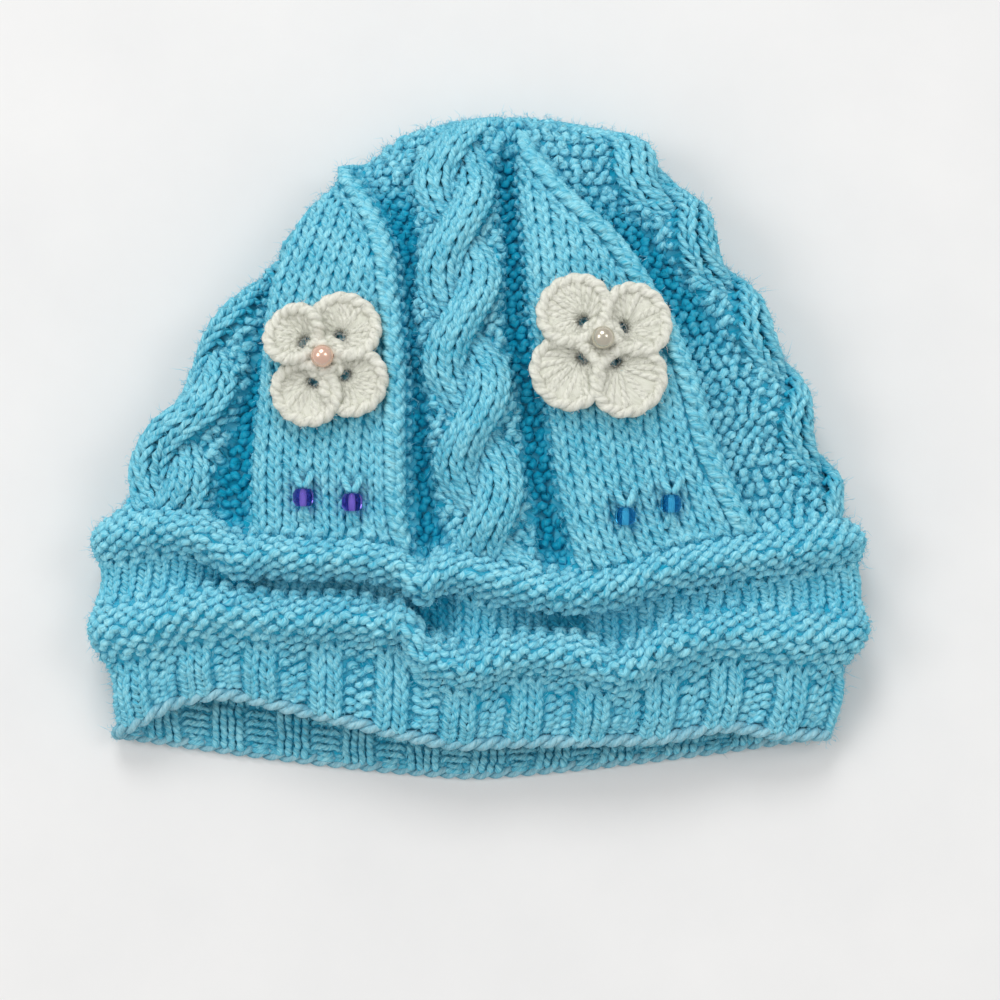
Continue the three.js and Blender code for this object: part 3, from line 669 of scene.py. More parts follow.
# %% [markdown]
# ## The rows of plain stitches
#
# The brim alternates two knit and two purl columns. The welts are purl all round, which is why they roll,
# and the band between them is stocking stitch. Each row is one closed ring of yarn.

# %% Brim, welts and band
RIBS = 23
RIB_PHASE = -0.04
BRIM_STITCHES = 4 * RIBS
BAND_TONE, WELT_TONE = -0.7, 0.7  # painted shade on the band, sheltered under the welts, and painted light on the welts


def ring_bounds(count):
    """Column edges of a row that runs all the way round."""
    edges = RIB_PHASE + np.arange(count + 1) * (4 / count)
    return lambda rows: np.repeat(edges[None, :], len(rows), axis=0)


def rib_knits(count):
    """Two knit, two purl, with a knit pair on the phase of the ribs."""
    return [(k + 1) % 4 < 2 for k in range(count)]


def rib_lift(turn, row):
    """Knit pairs stand up and purl pairs sink."""
    phase = (turn - RIB_PHASE) * 2 * math.pi * RIBS / 4
    fade = 1 - smooth(RIB_TOP - 2, RIB_TOP, row)
    return RIB_LIFT * np.sign(np.cos(phase)) * np.sqrt(np.abs(np.cos(phase))) * fade * pressed(turn)


def knit_rings(pile, first, last, knits, lift, tone=0.0):
    """Knit closed rings for rows first to last."""
    for row in range(first, last):
        knit_run(pile, row + 0.5, ring_bounds(len(knits)), knits, lift, True, tone=tone)


brim_pile = YarnPile(two_faced=True)
lower_pile, band_pile, upper_pile = (YarnPile() for _ in range(3))
knit_rings(brim_pile, CAST_ON, RIB_TOP, rib_knits(BRIM_STITCHES), rib_lift)
knit_rings(lower_pile, RIB_TOP, LOWER_WELT_TOP, [False] * BRIM_STITCHES, relief, WELT_TONE)
knit_rings(band_pile, LOWER_WELT_TOP, BAND_TOP, [True] * BRIM_STITCHES, relief, BAND_TONE)
knit_rings(upper_pile, BAND_TOP, UPPER_WELT_TOP, [False] * BRIM_STITCHES, relief, WELT_TONE)
print("rings:", UPPER_WELT_TOP, "of", BRIM_STITCHES, "stitches")

# %% [markdown]
# The cast-on edge is a cord along the rim: the tail of the yarn crosses itself once at each stitch, and
# lies there as slanted strokes. Two strands that wind round each other make the same strokes.

# %% Cast-on edge
CAST_ON_TWISTS, TWIST_STEPS = BRIM_STITCHES // 2, 12
CAST_ON_ROW, CAST_ON_HEIGHT = -0.2, 1.1
CORD_TWIST, CORD_STRAND = 0.95, 1.2


def add_rope(pile, path, normals, twist, strand, twists, closed=False, sides=6):
    """Wind two strands of yarn round a path; twist and strand are radii along it."""
    _, up, side = lengthwise_frame(path, normals, closed)
    share = np.arange(len(path)) / (len(path) if closed else len(path) - 1)
    for start in (0.0, math.pi):
        angle = (start + 2 * math.pi * twists * share)[:, None]
        offset = np.cos(angle) * up - np.sin(angle) * side
        wound = path + twist[:, None] * offset
        pile.add_tube(wound, normals, strand, sides, closed, twist * np.cos(angle[:, 0]))


edge_turns = np.linspace(-2, 2, CAST_ON_TWISTS * TWIST_STEPS, endpoint=False)
edge_rows = np.full(len(edge_turns), CAST_ON_ROW)
edge_normals = outward(edge_turns, edge_rows)
edge_path = plain_fabric(edge_turns, edge_rows) + CAST_ON_HEIGHT * edge_normals
edge_pile = YarnPile(two_faced=True)
add_rope(edge_pile, edge_path, edge_normals, np.full(len(edge_path), CORD_TWIST),
         np.full(len(edge_path), CORD_STRAND), CAST_ON_TWISTS, closed=True)
print("cast-on edge:", edge_pile.triangles(), "triangles")

# %% [markdown]
# ## The crown
#
# Each row of the crown is worked in runs: the two strands of a cable, the ground on both sides of the
# panel, and the panel itself, whose last column is the chain of decreases. A strand's columns wander
# across the cable and rise over the other strand at each crossing.

# %% Cables
CABLE_ROWS = 7.5
CABLE_CROSSINGS = (46.2, 49.9, 49.9, 46.2)  # a row at which the strands of each cable cross
STRAND_LIFT, CROSSING_LIFT = 4.6, 3.3
STRAND_ROUND = 7.4  # from a strand's middle to where its rounded top reaches the fabric
STRAND_LEAST = -0.3  # how far the edges of a strand dip under the fabric, as a share of its lift
STRAND_STITCHES, STRAND_WIDTH = 3, 13.8
CABLE_FOOT = 3  # rows in which a cable rises out of the welt


def strand_middle(row, cable, turned):
    """Sideways place and lift of one strand of a cable."""
    phase = math.pi * (row - CABLE_CROSSINGS[cable]) / CABLE_ROWS + math.pi / 2 + turned
    return -0.5 * CABLE_HALF * np.cos(phase), CROSSING_LIFT * np.sin(phase)


def strand_run(pile, cable, row, turned):
    """Three columns that twist round the other three."""
    def bounds(rows):
        middle, _ = strand_middle(rows, cable, turned)
        columns = (np.arange(STRAND_STITCHES + 1) / STRAND_STITCHES - 0.5) * STRAND_WIDTH
        offset = middle[:, None] + columns[None, :]
        return pattern_lines(rows)[0][cable][:, None] + offset / turn_length(rows)[:, None]

    def lift(turn, rows):
        middle, over = strand_middle(rows, cable, turned)
        offset = wrap(turn - pattern_lines(rows)[0][cable]) * turn_length(rows)
        round_part = 1 - ((offset - middle) / STRAND_ROUND) ** 2
        risen = smooth(UPPER_WELT_TOP - 1, UPPER_WELT_TOP + CABLE_FOOT, rows)
        lifted = risen * before_tip(rows) * pressed(turn)
        return (STRAND_LIFT * np.maximum(round_part, STRAND_LEAST) + over) * lifted

    knit_run(pile, row, bounds, [True] * STRAND_STITCHES, lift, False)


# %% Ground and panels
STITCH_WIDTH = 4.75
GROUND_STITCH = 4.3
CHAIN_WIDTH, CHAIN_THICK = 1.45, 1.4  # a decreased stitch is wider and fuller than a plain one
LEAST_STITCH = 0.4  # a narrower stitch has been decreased away


def ground_run(pile, row, start, end):
    """Purl columns spread evenly between two lines given as functions of the row, in turns."""
    here = np.array([row])
    width = float(((end(here) - start(here)) * turn_length(here))[0])
    if width < LEAST_STITCH * GROUND_STITCH:
        return
    count = max(1, round(width / GROUND_STITCH))

    def bounds(rows):
        low, high = start(rows), end(rows)
        share = np.linspace(0, 1, count + 1)[None, :]
        return low[:, None] + (high - low)[:, None] * share

    knit_run(pile, row, bounds, [False] * count, relief, False)


def panel_run(pile, panel, row):
    """Straight columns from the left edge, cut off by the slanting chain of decreases."""
    here = np.array([row])
    start, end = pattern_lines(here)[1][panel]
    width = float(((end - start) * turn_length(here))[0])
    chain = min(CHAIN_WIDTH * STITCH_WIDTH, width)
    if width < LEAST_STITCH * STITCH_WIDTH:
        return
    whole = int(max(0, (width - chain) / STITCH_WIDTH))
    squeezed = (width - chain) / STITCH_WIDTH - whole > LEAST_STITCH

    def bounds(rows):
        length = turn_length(rows)
        left, right = (line * length for line in pattern_lines(rows)[1][panel])
        right = np.maximum(right, left + chain)
        columns = [np.minimum(left + k * STITCH_WIDTH, right - chain) for k in range(whole + 1)]
        if squeezed:
            columns.append(right - chain)
        elif whole:
            columns[-1] = right - chain
        columns.append(right)
        return np.stack(columns, axis=-1) / length[:, None]

    knit_run(pile, row, bounds, [True] * (whole + squeezed + 1), relief, False, CHAIN_THICK)


# %% Rows of the crown


def cable_edge(cable, side):
    """The line along one edge of a cable as a function of the row; it is narrow where the strands cross."""
    def line(rows):
        whole_turns = 4 * (cable // 4)
        swing = np.abs(strand_middle(rows, cable % 4, 0.0)[0])
        reach = 0.5 * CABLE_HALF + swing
        return pattern_lines(rows)[0][cable % 4] + whole_turns + side * reach / turn_length(rows)
    return line


def panel_edge(panel, side):
    """The line along the left (0) or right (1) edge of a panel, as a function of the row."""
    return lambda rows: pattern_lines(rows)[1][panel][side]


cable_pile, panel_pile, ground_pile = YarnPile(), YarnPile(), YarnPile()
for row_number in range(UPPER_WELT_TOP, TIP - 1):
    row = row_number + 0.5
    for k in range(4):
        strand_run(cable_pile, k, row, 0.0)
        strand_run(cable_pile, k, row, math.pi)
        panel_run(panel_pile, k, row)
        ground_run(ground_pile, row, cable_edge(k, 1), panel_edge(k, 0))
        ground_run(ground_pile, row, panel_edge(k, 1), cable_edge(k + 1, -1))
print("crown:", [pile.triangles() for pile in (cable_pile, panel_pile, ground_pile)], "triangles")

# %% [markdown]
# The last stitches are drawn together on the tail of the yarn. Each column there is a short rope of two
# strands that runs into the tip.

# %% Gathered tip
GATHERS, GATHER_STEPS = 34, 16
GATHER_FROM, GATHER_TO = TIP - 1.5, TIP - 0.01  # rows at which a column starts and ends
GATHER_CROWDING = 0.6  # steps lie closer towards the tip, where a row is long
GATHER_SUNK, GATHER_RISE, GATHER_RISEN = -0.8, 1.6, 0.7  # a column comes out from under the last row
GATHER_TAPER = 0.4
GATHER_TWIST, GATHER_STRAND, GATHER_PITCH = 0.75, 0.95, 6.0

tip_rows = GATHER_FROM + (GATHER_TO - GATHER_FROM) * np.linspace(0, 1, GATHER_STEPS) ** GATHER_CROWDING
tip_height = GATHER_SUNK + GATHER_RISE * smooth(GATHER_FROM, GATHER_FROM + GATHER_RISEN, tip_rows)
tip_taper = 1 - GATHER_TAPER * smooth(TIP - 0.5, TIP, tip_rows)
for turn in np.arange(GATHERS) * (4 / GATHERS):
    tip_turns = np.full(GATHER_STEPS, turn)
    tip_normals = outward(tip_turns, tip_rows)
    path = plain_fabric(tip_turns, tip_rows) + tip_height[:, None] * tip_normals
    path[:, 2] = np.maximum(path[:, 2], GATHER_TWIST + GATHER_STRAND)
    length = np.linalg.norm(np.diff(path, axis=0), axis=1).sum()
    add_rope(cable_pile, path, tip_normals, GATHER_TWIST * tip_taper, GATHER_STRAND * tip_taper,
             length / GATHER_PITCH, sides=FRONT_SIDES)
print("tip:", GATHERS, "columns drawn together")

# %% [markdown]
# ## Backing
#
# Real loops are squeezed together and brushed, so no light comes through them. A thin closed skin in the
# middle of the fabric, in the same yarn, closes the pinholes between the modelled loops. It is a grid
# with two faces, joined at the rim and drawn together at the tip.

# %% Backing
BACKING_COLUMNS, BACKING_ROWS = 120, 56
BACKING_HALF = 0.3
# Place of the backing in the fabric, by kind of stitch
KNIT_BACKING, BAND_BACKING, WELT_BACKING, GROUND_BACKING = -0.1, 0.35, 0.4, -0.3
UNDER_ROPE = 2.0  # how far the backing stays below the loops of a cable


def rope_height(turn, row):
    """Height of the upper strand of whichever cable lies at a place."""
    height = np.zeros(turn.shape)
    for cable, middle_turn in enumerate(pattern_lines(row)[0]):
        offset = wrap(turn - middle_turn) * turn_length(row)
        for turned in (0.0, math.pi):
            middle, over = strand_middle(row, cable, turned)
            round_part = 1 - ((offset - middle) / STRAND_ROUND) ** 2
            height = np.maximum(height, np.where(round_part > 0, STRAND_LIFT * round_part + over, 0))
    in_crown = smooth(UPPER_WELT_TOP, UPPER_WELT_TOP + CABLE_FOOT, row)
    return height * in_crown * before_tip(row) * pressed(turn)


backing_turns, backing_rows = np.meshgrid(
    np.arange(BACKING_COLUMNS) * (4 / BACKING_COLUMNS), np.linspace(0.3, TIP - 0.02, BACKING_ROWS))
backing_normals = outward(backing_turns, backing_rows)
backing_lift = np.where(backing_rows < RIB_TOP, rib_lift(backing_turns, backing_rows),
                        relief(backing_turns, backing_rows))
in_welts = sum(smooth(low, low + 1, backing_rows) * (1 - smooth(high - 1, high, backing_rows))
               for low, high in ((RIB_TOP, LOWER_WELT_TOP), (BAND_TOP, UPPER_WELT_TOP)))
in_band = smooth(LOWER_WELT_TOP, LOWER_WELT_TOP + 1, backing_rows) * (
    1 - smooth(BAND_TOP - 1, BAND_TOP, backing_rows))
in_ground = smooth(0, -1.5, pattern_lift(backing_turns, backing_rows)) * smooth(
    UPPER_WELT_TOP, UPPER_WELT_TOP + 1, backing_rows)
backing_lift = backing_lift + smooth(RIB_TOP - 1, RIB_TOP + 1, backing_rows) * (
    KNIT_BACKING + (WELT_BACKING - KNIT_BACKING) * in_welts + (BAND_BACKING - KNIT_BACKING) * in_band
    + (GROUND_BACKING - KNIT_BACKING) * in_ground)
backing_faces = []
for side in (1, -1):
    face = plain_fabric(backing_turns, backing_rows)
    under_rope = np.maximum(rope_height(backing_turns, backing_rows) - UNDER_ROPE, 0) if side > 0 else 0.0
    face = face + backing_normals * (backing_lift + under_rope + side * BACKING_HALF)[..., None]
    face[..., 2] = np.maximum(face[..., 2], YARN_RADIUS - side * BACKING_HALF)
    backing_faces.append(face)
backing_pile = YarnPile()
backing_pile.add_skin(np.concatenate([backing_faces[0], backing_faces[1][::-1]]))
print("backing:", backing_pile.triangles(), "triangles")

# %% [markdown]
# ## Yarn
#
# The yarn is a soft mohair blend of two plies: each stroke of it shows a fine spiral groove and
# lengthwise fibres. It is matt, with a haze of pale fibre that catches the light at grazing angles, which
# sheen gives. The UV map runs in millimetres along the yarn and in turns around it, so the spiral follows
# every loop.

# %% Yarn material
PLY_PITCH = 5.0  # millimetres of yarn in one twist of its plies
FIBRE_LENGTH = 3.0
FIBRES_AROUND = 8.0
PALE_TOP, PALE_FROM = 0.15, 0.85  # how much paler the outer side is painted, as painted light and the haze of fibre there, and from where on
CLOUD_SHARE, TONE_FROM, TONE_TO = 0.4, 0.5, 0.9  # share of cloudy dyeing, and the range of fibre tones


def plied_yarn(name, sunk, deep, dark, light, sheen, sheen_tint):
    """Two-ply yarn: a spiral groove, lengthwise fibres, cloudy dyeing, painted light on the outer side, and
    painted shade in a fuller colour where it is sunk."""
    material, tree = new_material(name)
    place = add_node(tree, "ShaderNodeTexCoord")
    strand = add_node(tree, "ShaderNodeSeparateXYZ", inputs={"Vector": place.outputs["UV"]})
    along, around = strand.outputs["X"], strand.outputs["Y"]
    twist = add_node(tree, "ShaderNodeMath", {"operation": "MULTIPLY_ADD"}, {
        0: along, 1: 1 / PLY_PITCH, 2: around})
    spiral = add_node(tree, "ShaderNodeMath", {"operation": "MULTIPLY"}, {
        0: twist.outputs[0], 1: 2 * math.pi})
    wave = add_node(tree, "ShaderNodeMath", {"operation": "SINE"}, {0: spiral.outputs[0]})
    ply = add_node(tree, "ShaderNodeMath", {"operation": "ABSOLUTE"}, {0: wave.outputs[0]})
    lengthwise = add_node(tree, "ShaderNodeMath", {"operation": "DIVIDE"}, {0: along, 1: FIBRE_LENGTH})
    crosswise = add_node(tree, "ShaderNodeMath", {"operation": "MULTIPLY"}, {
        0: twist.outputs[0], 1: FIBRES_AROUND})
    fibre_place = add_node(tree, "ShaderNodeCombineXYZ", inputs={
        "X": lengthwise.outputs[0], "Y": crosswise.outputs[0]})
    fibres = add_node(tree, "ShaderNodeTexNoise", inputs={
        "Vector": fibre_place.outputs[0], "Scale": 1.0, "Detail": 3.0, "Roughness": 0.7})
    clouds = add_node(tree, "ShaderNodeTexNoise", inputs={
        "Vector": place.outputs["Object"], "Scale": 1000 / 9, "Detail": 3.0, "Roughness": 0.6})
    tone = add_node(tree, "ShaderNodeMath", {"operation": "MULTIPLY_ADD"}, {
        0: clouds.outputs["Fac"], 1: CLOUD_SHARE, 2: fibres.outputs["Fac"]})
    # the outer attribute paints light and shade: yarn that stands out is painted paler, low yarn gets painted
    # shade
    painted_light_and_shade = add_node(tree, "ShaderNodeAttribute", {"attribute_name": "outer"})
    pale = add_node(tree, "ShaderNodeMath", {"operation": "MULTIPLY_ADD"}, {
        0: painted_light_and_shade.outputs["Fac"], 1: PALE_TOP, 2: tone.outputs[0]})
    share = add_node(tree, "ShaderNodeMapRange", inputs={
        "Value": pale.outputs[0], "From Min": TONE_FROM + PALE_FROM * PALE_TOP,
        "From Max": TONE_TO + PALE_FROM * PALE_TOP})
    tint = add_node(tree, "ShaderNodeMix", {"data_type": "RGBA"}, {
        "Factor": share.outputs[0], "A": linear(dark), "B": linear(light)})
    # painted shade: the deep colour where the yarn lies low
    shade_share = add_node(tree, "ShaderNodeMapRange", {"interpolation_type": "SMOOTHSTEP"}, {
        "Value": painted_light_and_shade.outputs["Fac"], "From Min": 0.2, "From Max": 0.9, "To Min": 0.2})
    shaded_tint = add_node(tree, "ShaderNodeMix", {"data_type": "RGBA"}, {
        "Factor": shade_share.outputs[0], "A": linear(deep), "B": tint.outputs["Result"]})
    # painted shade: the sunk colour where the yarn lies lowest
    deep_shade_share = add_node(tree, "ShaderNodeMapRange", inputs={
        "Value": painted_light_and_shade.outputs["Fac"], "From Min": 0.0, "From Max": 0.25})
    colour = add_node(tree, "ShaderNodeMix", {"data_type": "RGBA"}, {
        "Factor": deep_shade_share.outputs[0], "A": linear(sunk), "B": shaded_tint.outputs["Result"]})
    height = add_node(tree, "ShaderNodeMath", {"operation": "MULTIPLY_ADD"}, {
        0: fibres.outputs["Fac"], 1: 0.6, 2: ply.outputs[0]})
    bump = add_node(tree, "ShaderNodeBump", inputs={
        "Strength": 1.0, "Distance": 0.4 * MM, "Height": height.outputs[0]})
    shader = add_node(tree, "ShaderNodeBsdfPrincipled", inputs={
        "Base Color": colour.outputs["Result"], "Roughness": 0.9, "Specular IOR Level": 0.05,
        "Sheen Weight": sheen, "Sheen Roughness": 0.4, "Sheen Tint": linear(sheen_tint),
        "Normal": bump.outputs["Normal"]})
    finish_material(tree, shader)
    return material


# the first two colours of each yarn, for sunk and deep yarn, are painted shade, saturated as light bounced in
# the recesses
aqua_yarn = plied_yarn("aqua mohair yarn", "#0a98bc", "#0aa2c4", "#2cb1d2", "#abf0fd", 0.15, "#7fd6ee")
edge_yarn = plied_yarn("aqua mohair yarn rubbed pale", "#3f97b3", "#3f97b3", "#74b9cd", "#aedbe6", 0.25,
                       "#e6f6fa")

# %% [markdown]
# Every finished piece rides on the hat's one body and hides the plain solid that it stands for.

# %% Knitted pieces


def place_piece(piece, slot, *nodes):
    """Tie a piece to the hat and hide the solids that it replaces; the slot is not used."""
    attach(piece, "root")
    if nodes:
        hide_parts(*nodes)


for pile, name, nodes in (
        (brim_pile, "brim_yarn", ["ribbed_brim"]),
        (lower_pile, "lower_welt_yarn", ["lower_welt"]),
        (band_pile, "band_yarn", ["band"]),
        (upper_pile, "upper_welt_yarn", ["upper_welt"]),
        (cable_pile, "crown_cable_yarn", ["crown"]),
        (panel_pile, "crown_panel_yarn", []),
        (ground_pile, "crown_ground_yarn", []),
        (backing_pile, "backing", [])):
    place_piece(pile.to_object(name, aqua_yarn), "aqua_yarn", *nodes)
place_piece(edge_pile.to_object("cast_on_edge", edge_yarn), "aqua_yarn")

# %% [markdown]
# ## Loose fibre
#
# Mohair sheds a halo of fine hairs. Each hair here is a slim spindle of six faces, thickest in its middle
# and bent there, rooted on a random place of the yarn that looks outwards. Hair curves would vanish on
# export, so the hairs are faces, and so fine that a single one is less than a pixel wide.

# %% Hairs
HAIR_SIDES = 3
HAIR_ROOTS = 0.7  # how far out the yarn lies where hairs stand
HAIR_LEAN, HAIR_CURL = 0.9, 1.1  # random part of a hair's first and second half
HAIR_SINK = 0.15  # how deep a hair is rooted in the yarn, in millimetres
# Number of hairs, then shortest and mean extra length, and radius, in millimetres
HAT_HAIRS = (24000, (0.9, 1.0), 0.07)
FLOWER_HAIRS = (12000, (0.6, 0.6), 0.06)
# Few hairs under the hat, most at its sides, where they stand free: how the fabric looks up, share of hairs
HAIR_GROWTH = [(-1, -0.4, 0, 0.5, 1), (0.05, 0.5, 1.8, 1.2, 0.6)]


def hair_pile(sources, count, lengths, radius):
    """Grow hairs on piles of yarn."""
    points, ways, outer, upright = (np.concatenate(sum((getattr(pile, part) for pile in sources), []))
                                    for part in ("points", "ways", "outer", "upright"))
    weights = np.where(outer > HAIR_ROOTS, np.interp(upright, *HAIR_GROWTH), 0)
    roots = random.choice(len(points), count, p=weights / weights.sum())
    length = (lengths[0] + random.exponential(lengths[1], count))[:, None]
    first = unit(ways[roots] + HAIR_LEAN * random.normal(0, 1, (count, 3)))
    second = unit(first + HAIR_CURL * random.normal(0, 1, (count, 3)))
    root = points[roots] - HAIR_SINK * ways[roots]
    middle = root + 0.5 * length * first
    tip = middle + 0.5 * length * second
    axis = unit(tip - root)
    side = unit(np.cross(axis, random.normal(0, 1, (count, 3))))
    angle = np.arange(HAIR_SIDES) * (2 * math.pi / HAIR_SIDES)
    across = np.cross(axis, side)
    ring = np.cos(angle)[None, :, None] * side[:, None] + np.sin(angle)[None, :, None] * across[:, None]
    corners = np.concatenate([root[:, None], middle[:, None] + radius * ring, tip[:, None]], axis=1)
    pile = YarnPile()
    numbers = pile.add_points(corners)
    for k in range(HAIR_SIDES):
        here, after = 1 + k, 1 + (k + 1) % HAIR_SIDES
        pile.fans.append(numbers[:, [here, after, -1]])
        pile.fans.append(numbers[:, [after, here, 0]])
    return pile


def loose_fibre(name, dark, light):
    """Brushed-out mohair: pale and matt, in two cloudy tones."""
    material, tree = new_material(name)
    place = add_node(tree, "ShaderNodeTexCoord")
    clouds = add_node(tree, "ShaderNodeTexNoise", inputs={
        "Vector": place.outputs["Object"], "Scale": 1000 / 6, "Detail": 2.0})
    tint = add_node(tree, "ShaderNodeMix", {"data_type": "RGBA"}, {
        "Factor": clouds.outputs["Fac"], "A": linear(dark), "B": linear(light)})
    shader = add_node(tree, "ShaderNodeBsdfPrincipled", inputs={
        "Base Color": tint.outputs["Result"], "Roughness": 0.9, "Specular IOR Level": 0.0})
    finish_material(tree, shader)
    return material


aqua_fibre = loose_fibre("loose aqua mohair", "#5ccbe8", "#aeeaf9")
brim_sources = [brim_pile, lower_pile, upper_pile, edge_pile]
crown_sources = [cable_pile, panel_pile, ground_pile]
for name, sources in (("brim_fibres", brim_sources), ("crown_fibres", crown_sources)):
    hairs = hair_pile(sources, *HAT_HAIRS)
    place_piece(hairs.to_object(name, aqua_fibre), "aqua_yarn")

# %% [markdown]
# ## Flowers
#
# Each flower is crocheted in cream yarn: four petals of long stitches that fan out from an eyelet, a
# corded edge round each petal, and a ring of yarn in which the pearl sits. A petal is built from a thin
# dished web, a fan of plain strands on it and a rope along its edge. Sizes are in millimetres in the
# flower's own frame, whose third axis stands off the hat.

# %% Petals
HOLE_AT, HOLE, PETAL_SPREAD, PETAL_DROOP = 8, 2, 1.14, 0.006
HEART_HEIGHT, SEAT_GAP, PEARL_RADIUS, PEARL_BORE = 2.6, 0.3, 3.4, 0.6
FLOWERS = {
    # node: place across and along the hat, then each petal's direction, reach, half width, lift and crease
    "flower_left": (-44.7, 24.6, [
        (142, 11.6, 7.4, 2.2, 2.6), (57, 11.2, 8.8, 0.8, 0),
        (-40, 11.6, 8.4, 0.3, 0), (-118, 11.8, 8.6, 0.9, 0)]),
    "flower_right": (36.1, 29.7, [
        (133, 12.2, 9.4, 0.9, 0.6), (31, 12.2, 9.2, 0.5, 0),
        (-56, 14.6, 9.6, 0.8, 0), (-136, 14.4, 9.4, 0.3, 0)]),
}
CREASE_AT = -0.35  # where the fold lies across a petal, as a share of its half width


def petal_point(petal, angle, out, height):
    """A point of a petal from its direction round the eyelet, its share of the way to the rim and height."""
    direction, reach, half, lift, crease = petal
    offset = reach - HOLE_AT
    to_rim = offset * np.cos(angle) + np.sqrt(half**2 - (offset * np.sin(angle)) ** 2)
    radius = HOLE + out * (to_rim - HOLE)
    along = HOLE_AT + radius * np.cos(angle)
    aside = PETAL_SPREAD * radius * np.sin(angle)
    fold = crease * (np.abs(aside / half - CREASE_AT) - 0.4) * smooth(2, HOLE_AT, along)
    rise = height + lift * np.clip(along / reach, 0, 1) - PETAL_DROOP * (along**2 + aside**2) + fold
    turn = math.radians(direction)
    return np.stack([along * math.cos(turn) - aside * math.sin(turn),
                     along * math.sin(turn) + aside * math.cos(turn), rise], axis=-1)


# %% Seat of a sewn piece


def seat_at(x, y):
    """Turn and row of the front under a place seen from above, found by stepping towards it."""
    spot, step = np.array([x / 100, 40.0]), 0.05

    def surface(turn, row):
        place = np.array([turn]), np.array([row])
        return (plain_fabric(*place) + outward(*place) * (relief(*place) + FABRIC / 2)[:, None])[0][:2]

    for _ in range(12):
        here = surface(*spot)
        nearby = surface(spot[0] + step, spot[1]), surface(spot[0], spot[1] + step)
        slopes = np.stack([place - here for place in nearby], 1)
        spot = spot + np.linalg.solve(slopes / step, np.array([x, y]) - here)
    return spot


def seated_axes(x, y):
    """Axes of a piece sewn on at a place: across the hat, along the knitted columns, and off the fabric."""
    turn, row = seat_at(x, y)
    off = outward(np.array([turn]), np.array([row]))[0]
    across = unit(np.cross([0, 1, 0], off))
    return np.stack([across, np.cross(off, across), off])


# %% Crocheted flowers
WEB_PROFILE = np.array([
    # share of the way to the rim, height
    (0.9, 0.2), (0.98, 2.0), (0.84, 3.1), (0.5, 2.0), (0.08, 1.4), (-0.1, 0.25)])
# WEB_TONE is how far out the web counts for its painted light and shade
WEB_SIDES, WEB_TONE = 40, 0.71
POSTS, POST_SPREAD, POST_STEPS = 19, math.radians(155), 10
POST_CROWDING = 1.3  # posts stand closer where the petal is long
POST_HEIGHTS = np.array([
    # share of the post's length, height
    (0, 0.7), (0.2, 1.0), (0.6, 1.5), (0.9, 2.3), (1, 2.3)])
POST_FROM, POST_LENGTH = 0.04, 0.84  # shares of the way from the eyelet to the rim
POST_THIN, POST_THICKER = 0.75, 0.6  # radius at the eyelet, and what it gains towards the rim
# painted light of a post: its share at the eyelet, and what it gains towards the rim
POST_TONE, POST_PALER = 0.4, 0.5
RIM_STEPS, RIM_TWISTS, RIM_SPREAD = 110, 9, math.radians(172)
RIM_AT, RIM_HEIGHT, RIM_WAVE = 0.93, 2.6, 0.25
CORD_RADIUS, RIM_STRAND, CROCHET_SIDES = 0.6, 1.5, 6
HEART_STEPS, HEART_TWISTS = 72, 1.2  # steps round a ring of the heart, and twists to a millimetre of radius
HEART_RINGS = [
    # radius of the ring, height, radius of its strands
    (5.4, 1.6, 1.25),
    (3.9, 2.2, 1.15),
    (2.0, 1.5, 1.1),
]


def crochet_petal(pile, petal, axes, origin):
    """Web, fan of strands and corded edge of one petal."""
    def placed(local):
        return origin + local @ axes

    angle = np.linspace(0, 2 * math.pi, WEB_SIDES, endpoint=False)
    web = np.stack([placed(petal_point(petal, angle, out, high)) for out, high in WEB_PROFILE])
    pile.add_skin(web, WEB_TONE)
    share = np.linspace(0, 1, POST_STEPS)
    for part in np.linspace(-1, 1, POSTS):
        post = POST_SPREAD * np.sign(part) * abs(part) ** POST_CROWDING
        bend = post + random.normal(0, 0.05) + 0.1 * share * random.normal(0, 1)
        height = np.interp(share, *POST_HEIGHTS.T) + random.normal(0, 0.15)
        path = placed(petal_point(petal, bend, POST_LENGTH * share + POST_FROM, height))
        up = np.repeat(axes[2:], POST_STEPS, axis=0)
        radii = (POST_THIN + POST_THICKER * share) * random.uniform(0.9, 1.1)
        pile.add_tube(path, up, radii, CROCHET_SIDES, False, POST_TONE + POST_PALER * share)
    angle = np.linspace(-RIM_SPREAD, RIM_SPREAD, RIM_STEPS)
    path = placed(petal_point(petal, angle, RIM_AT, RIM_HEIGHT + RIM_WAVE * np.sin(5 * angle + petal[0])))
    up = np.repeat(axes[2:], RIM_STEPS, axis=0)
    add_rope(pile, path, up, np.full(RIM_STEPS, CORD_RADIUS), np.full(RIM_STEPS, RIM_STRAND), RIM_TWISTS)


def crochet_heart(pile, axes, origin):
    """Rings of yarn in which the pearl sits."""
    angle = np.linspace(0, 2 * math.pi, HEART_STEPS, endpoint=False)
    up = np.repeat(axes[2:], HEART_STEPS, axis=0)
    for radius, height, strand in HEART_RINGS:
        level = np.full(HEART_STEPS, height)
        ring = np.stack([radius * np.cos(angle), radius * np.sin(angle), level], axis=-1)
        add_rope(pile, origin + ring @ axes, up, np.full(HEART_STEPS, CORD_RADIUS),
                 np.full(HEART_STEPS, strand), round(HEART_TWISTS * radius), closed=True)


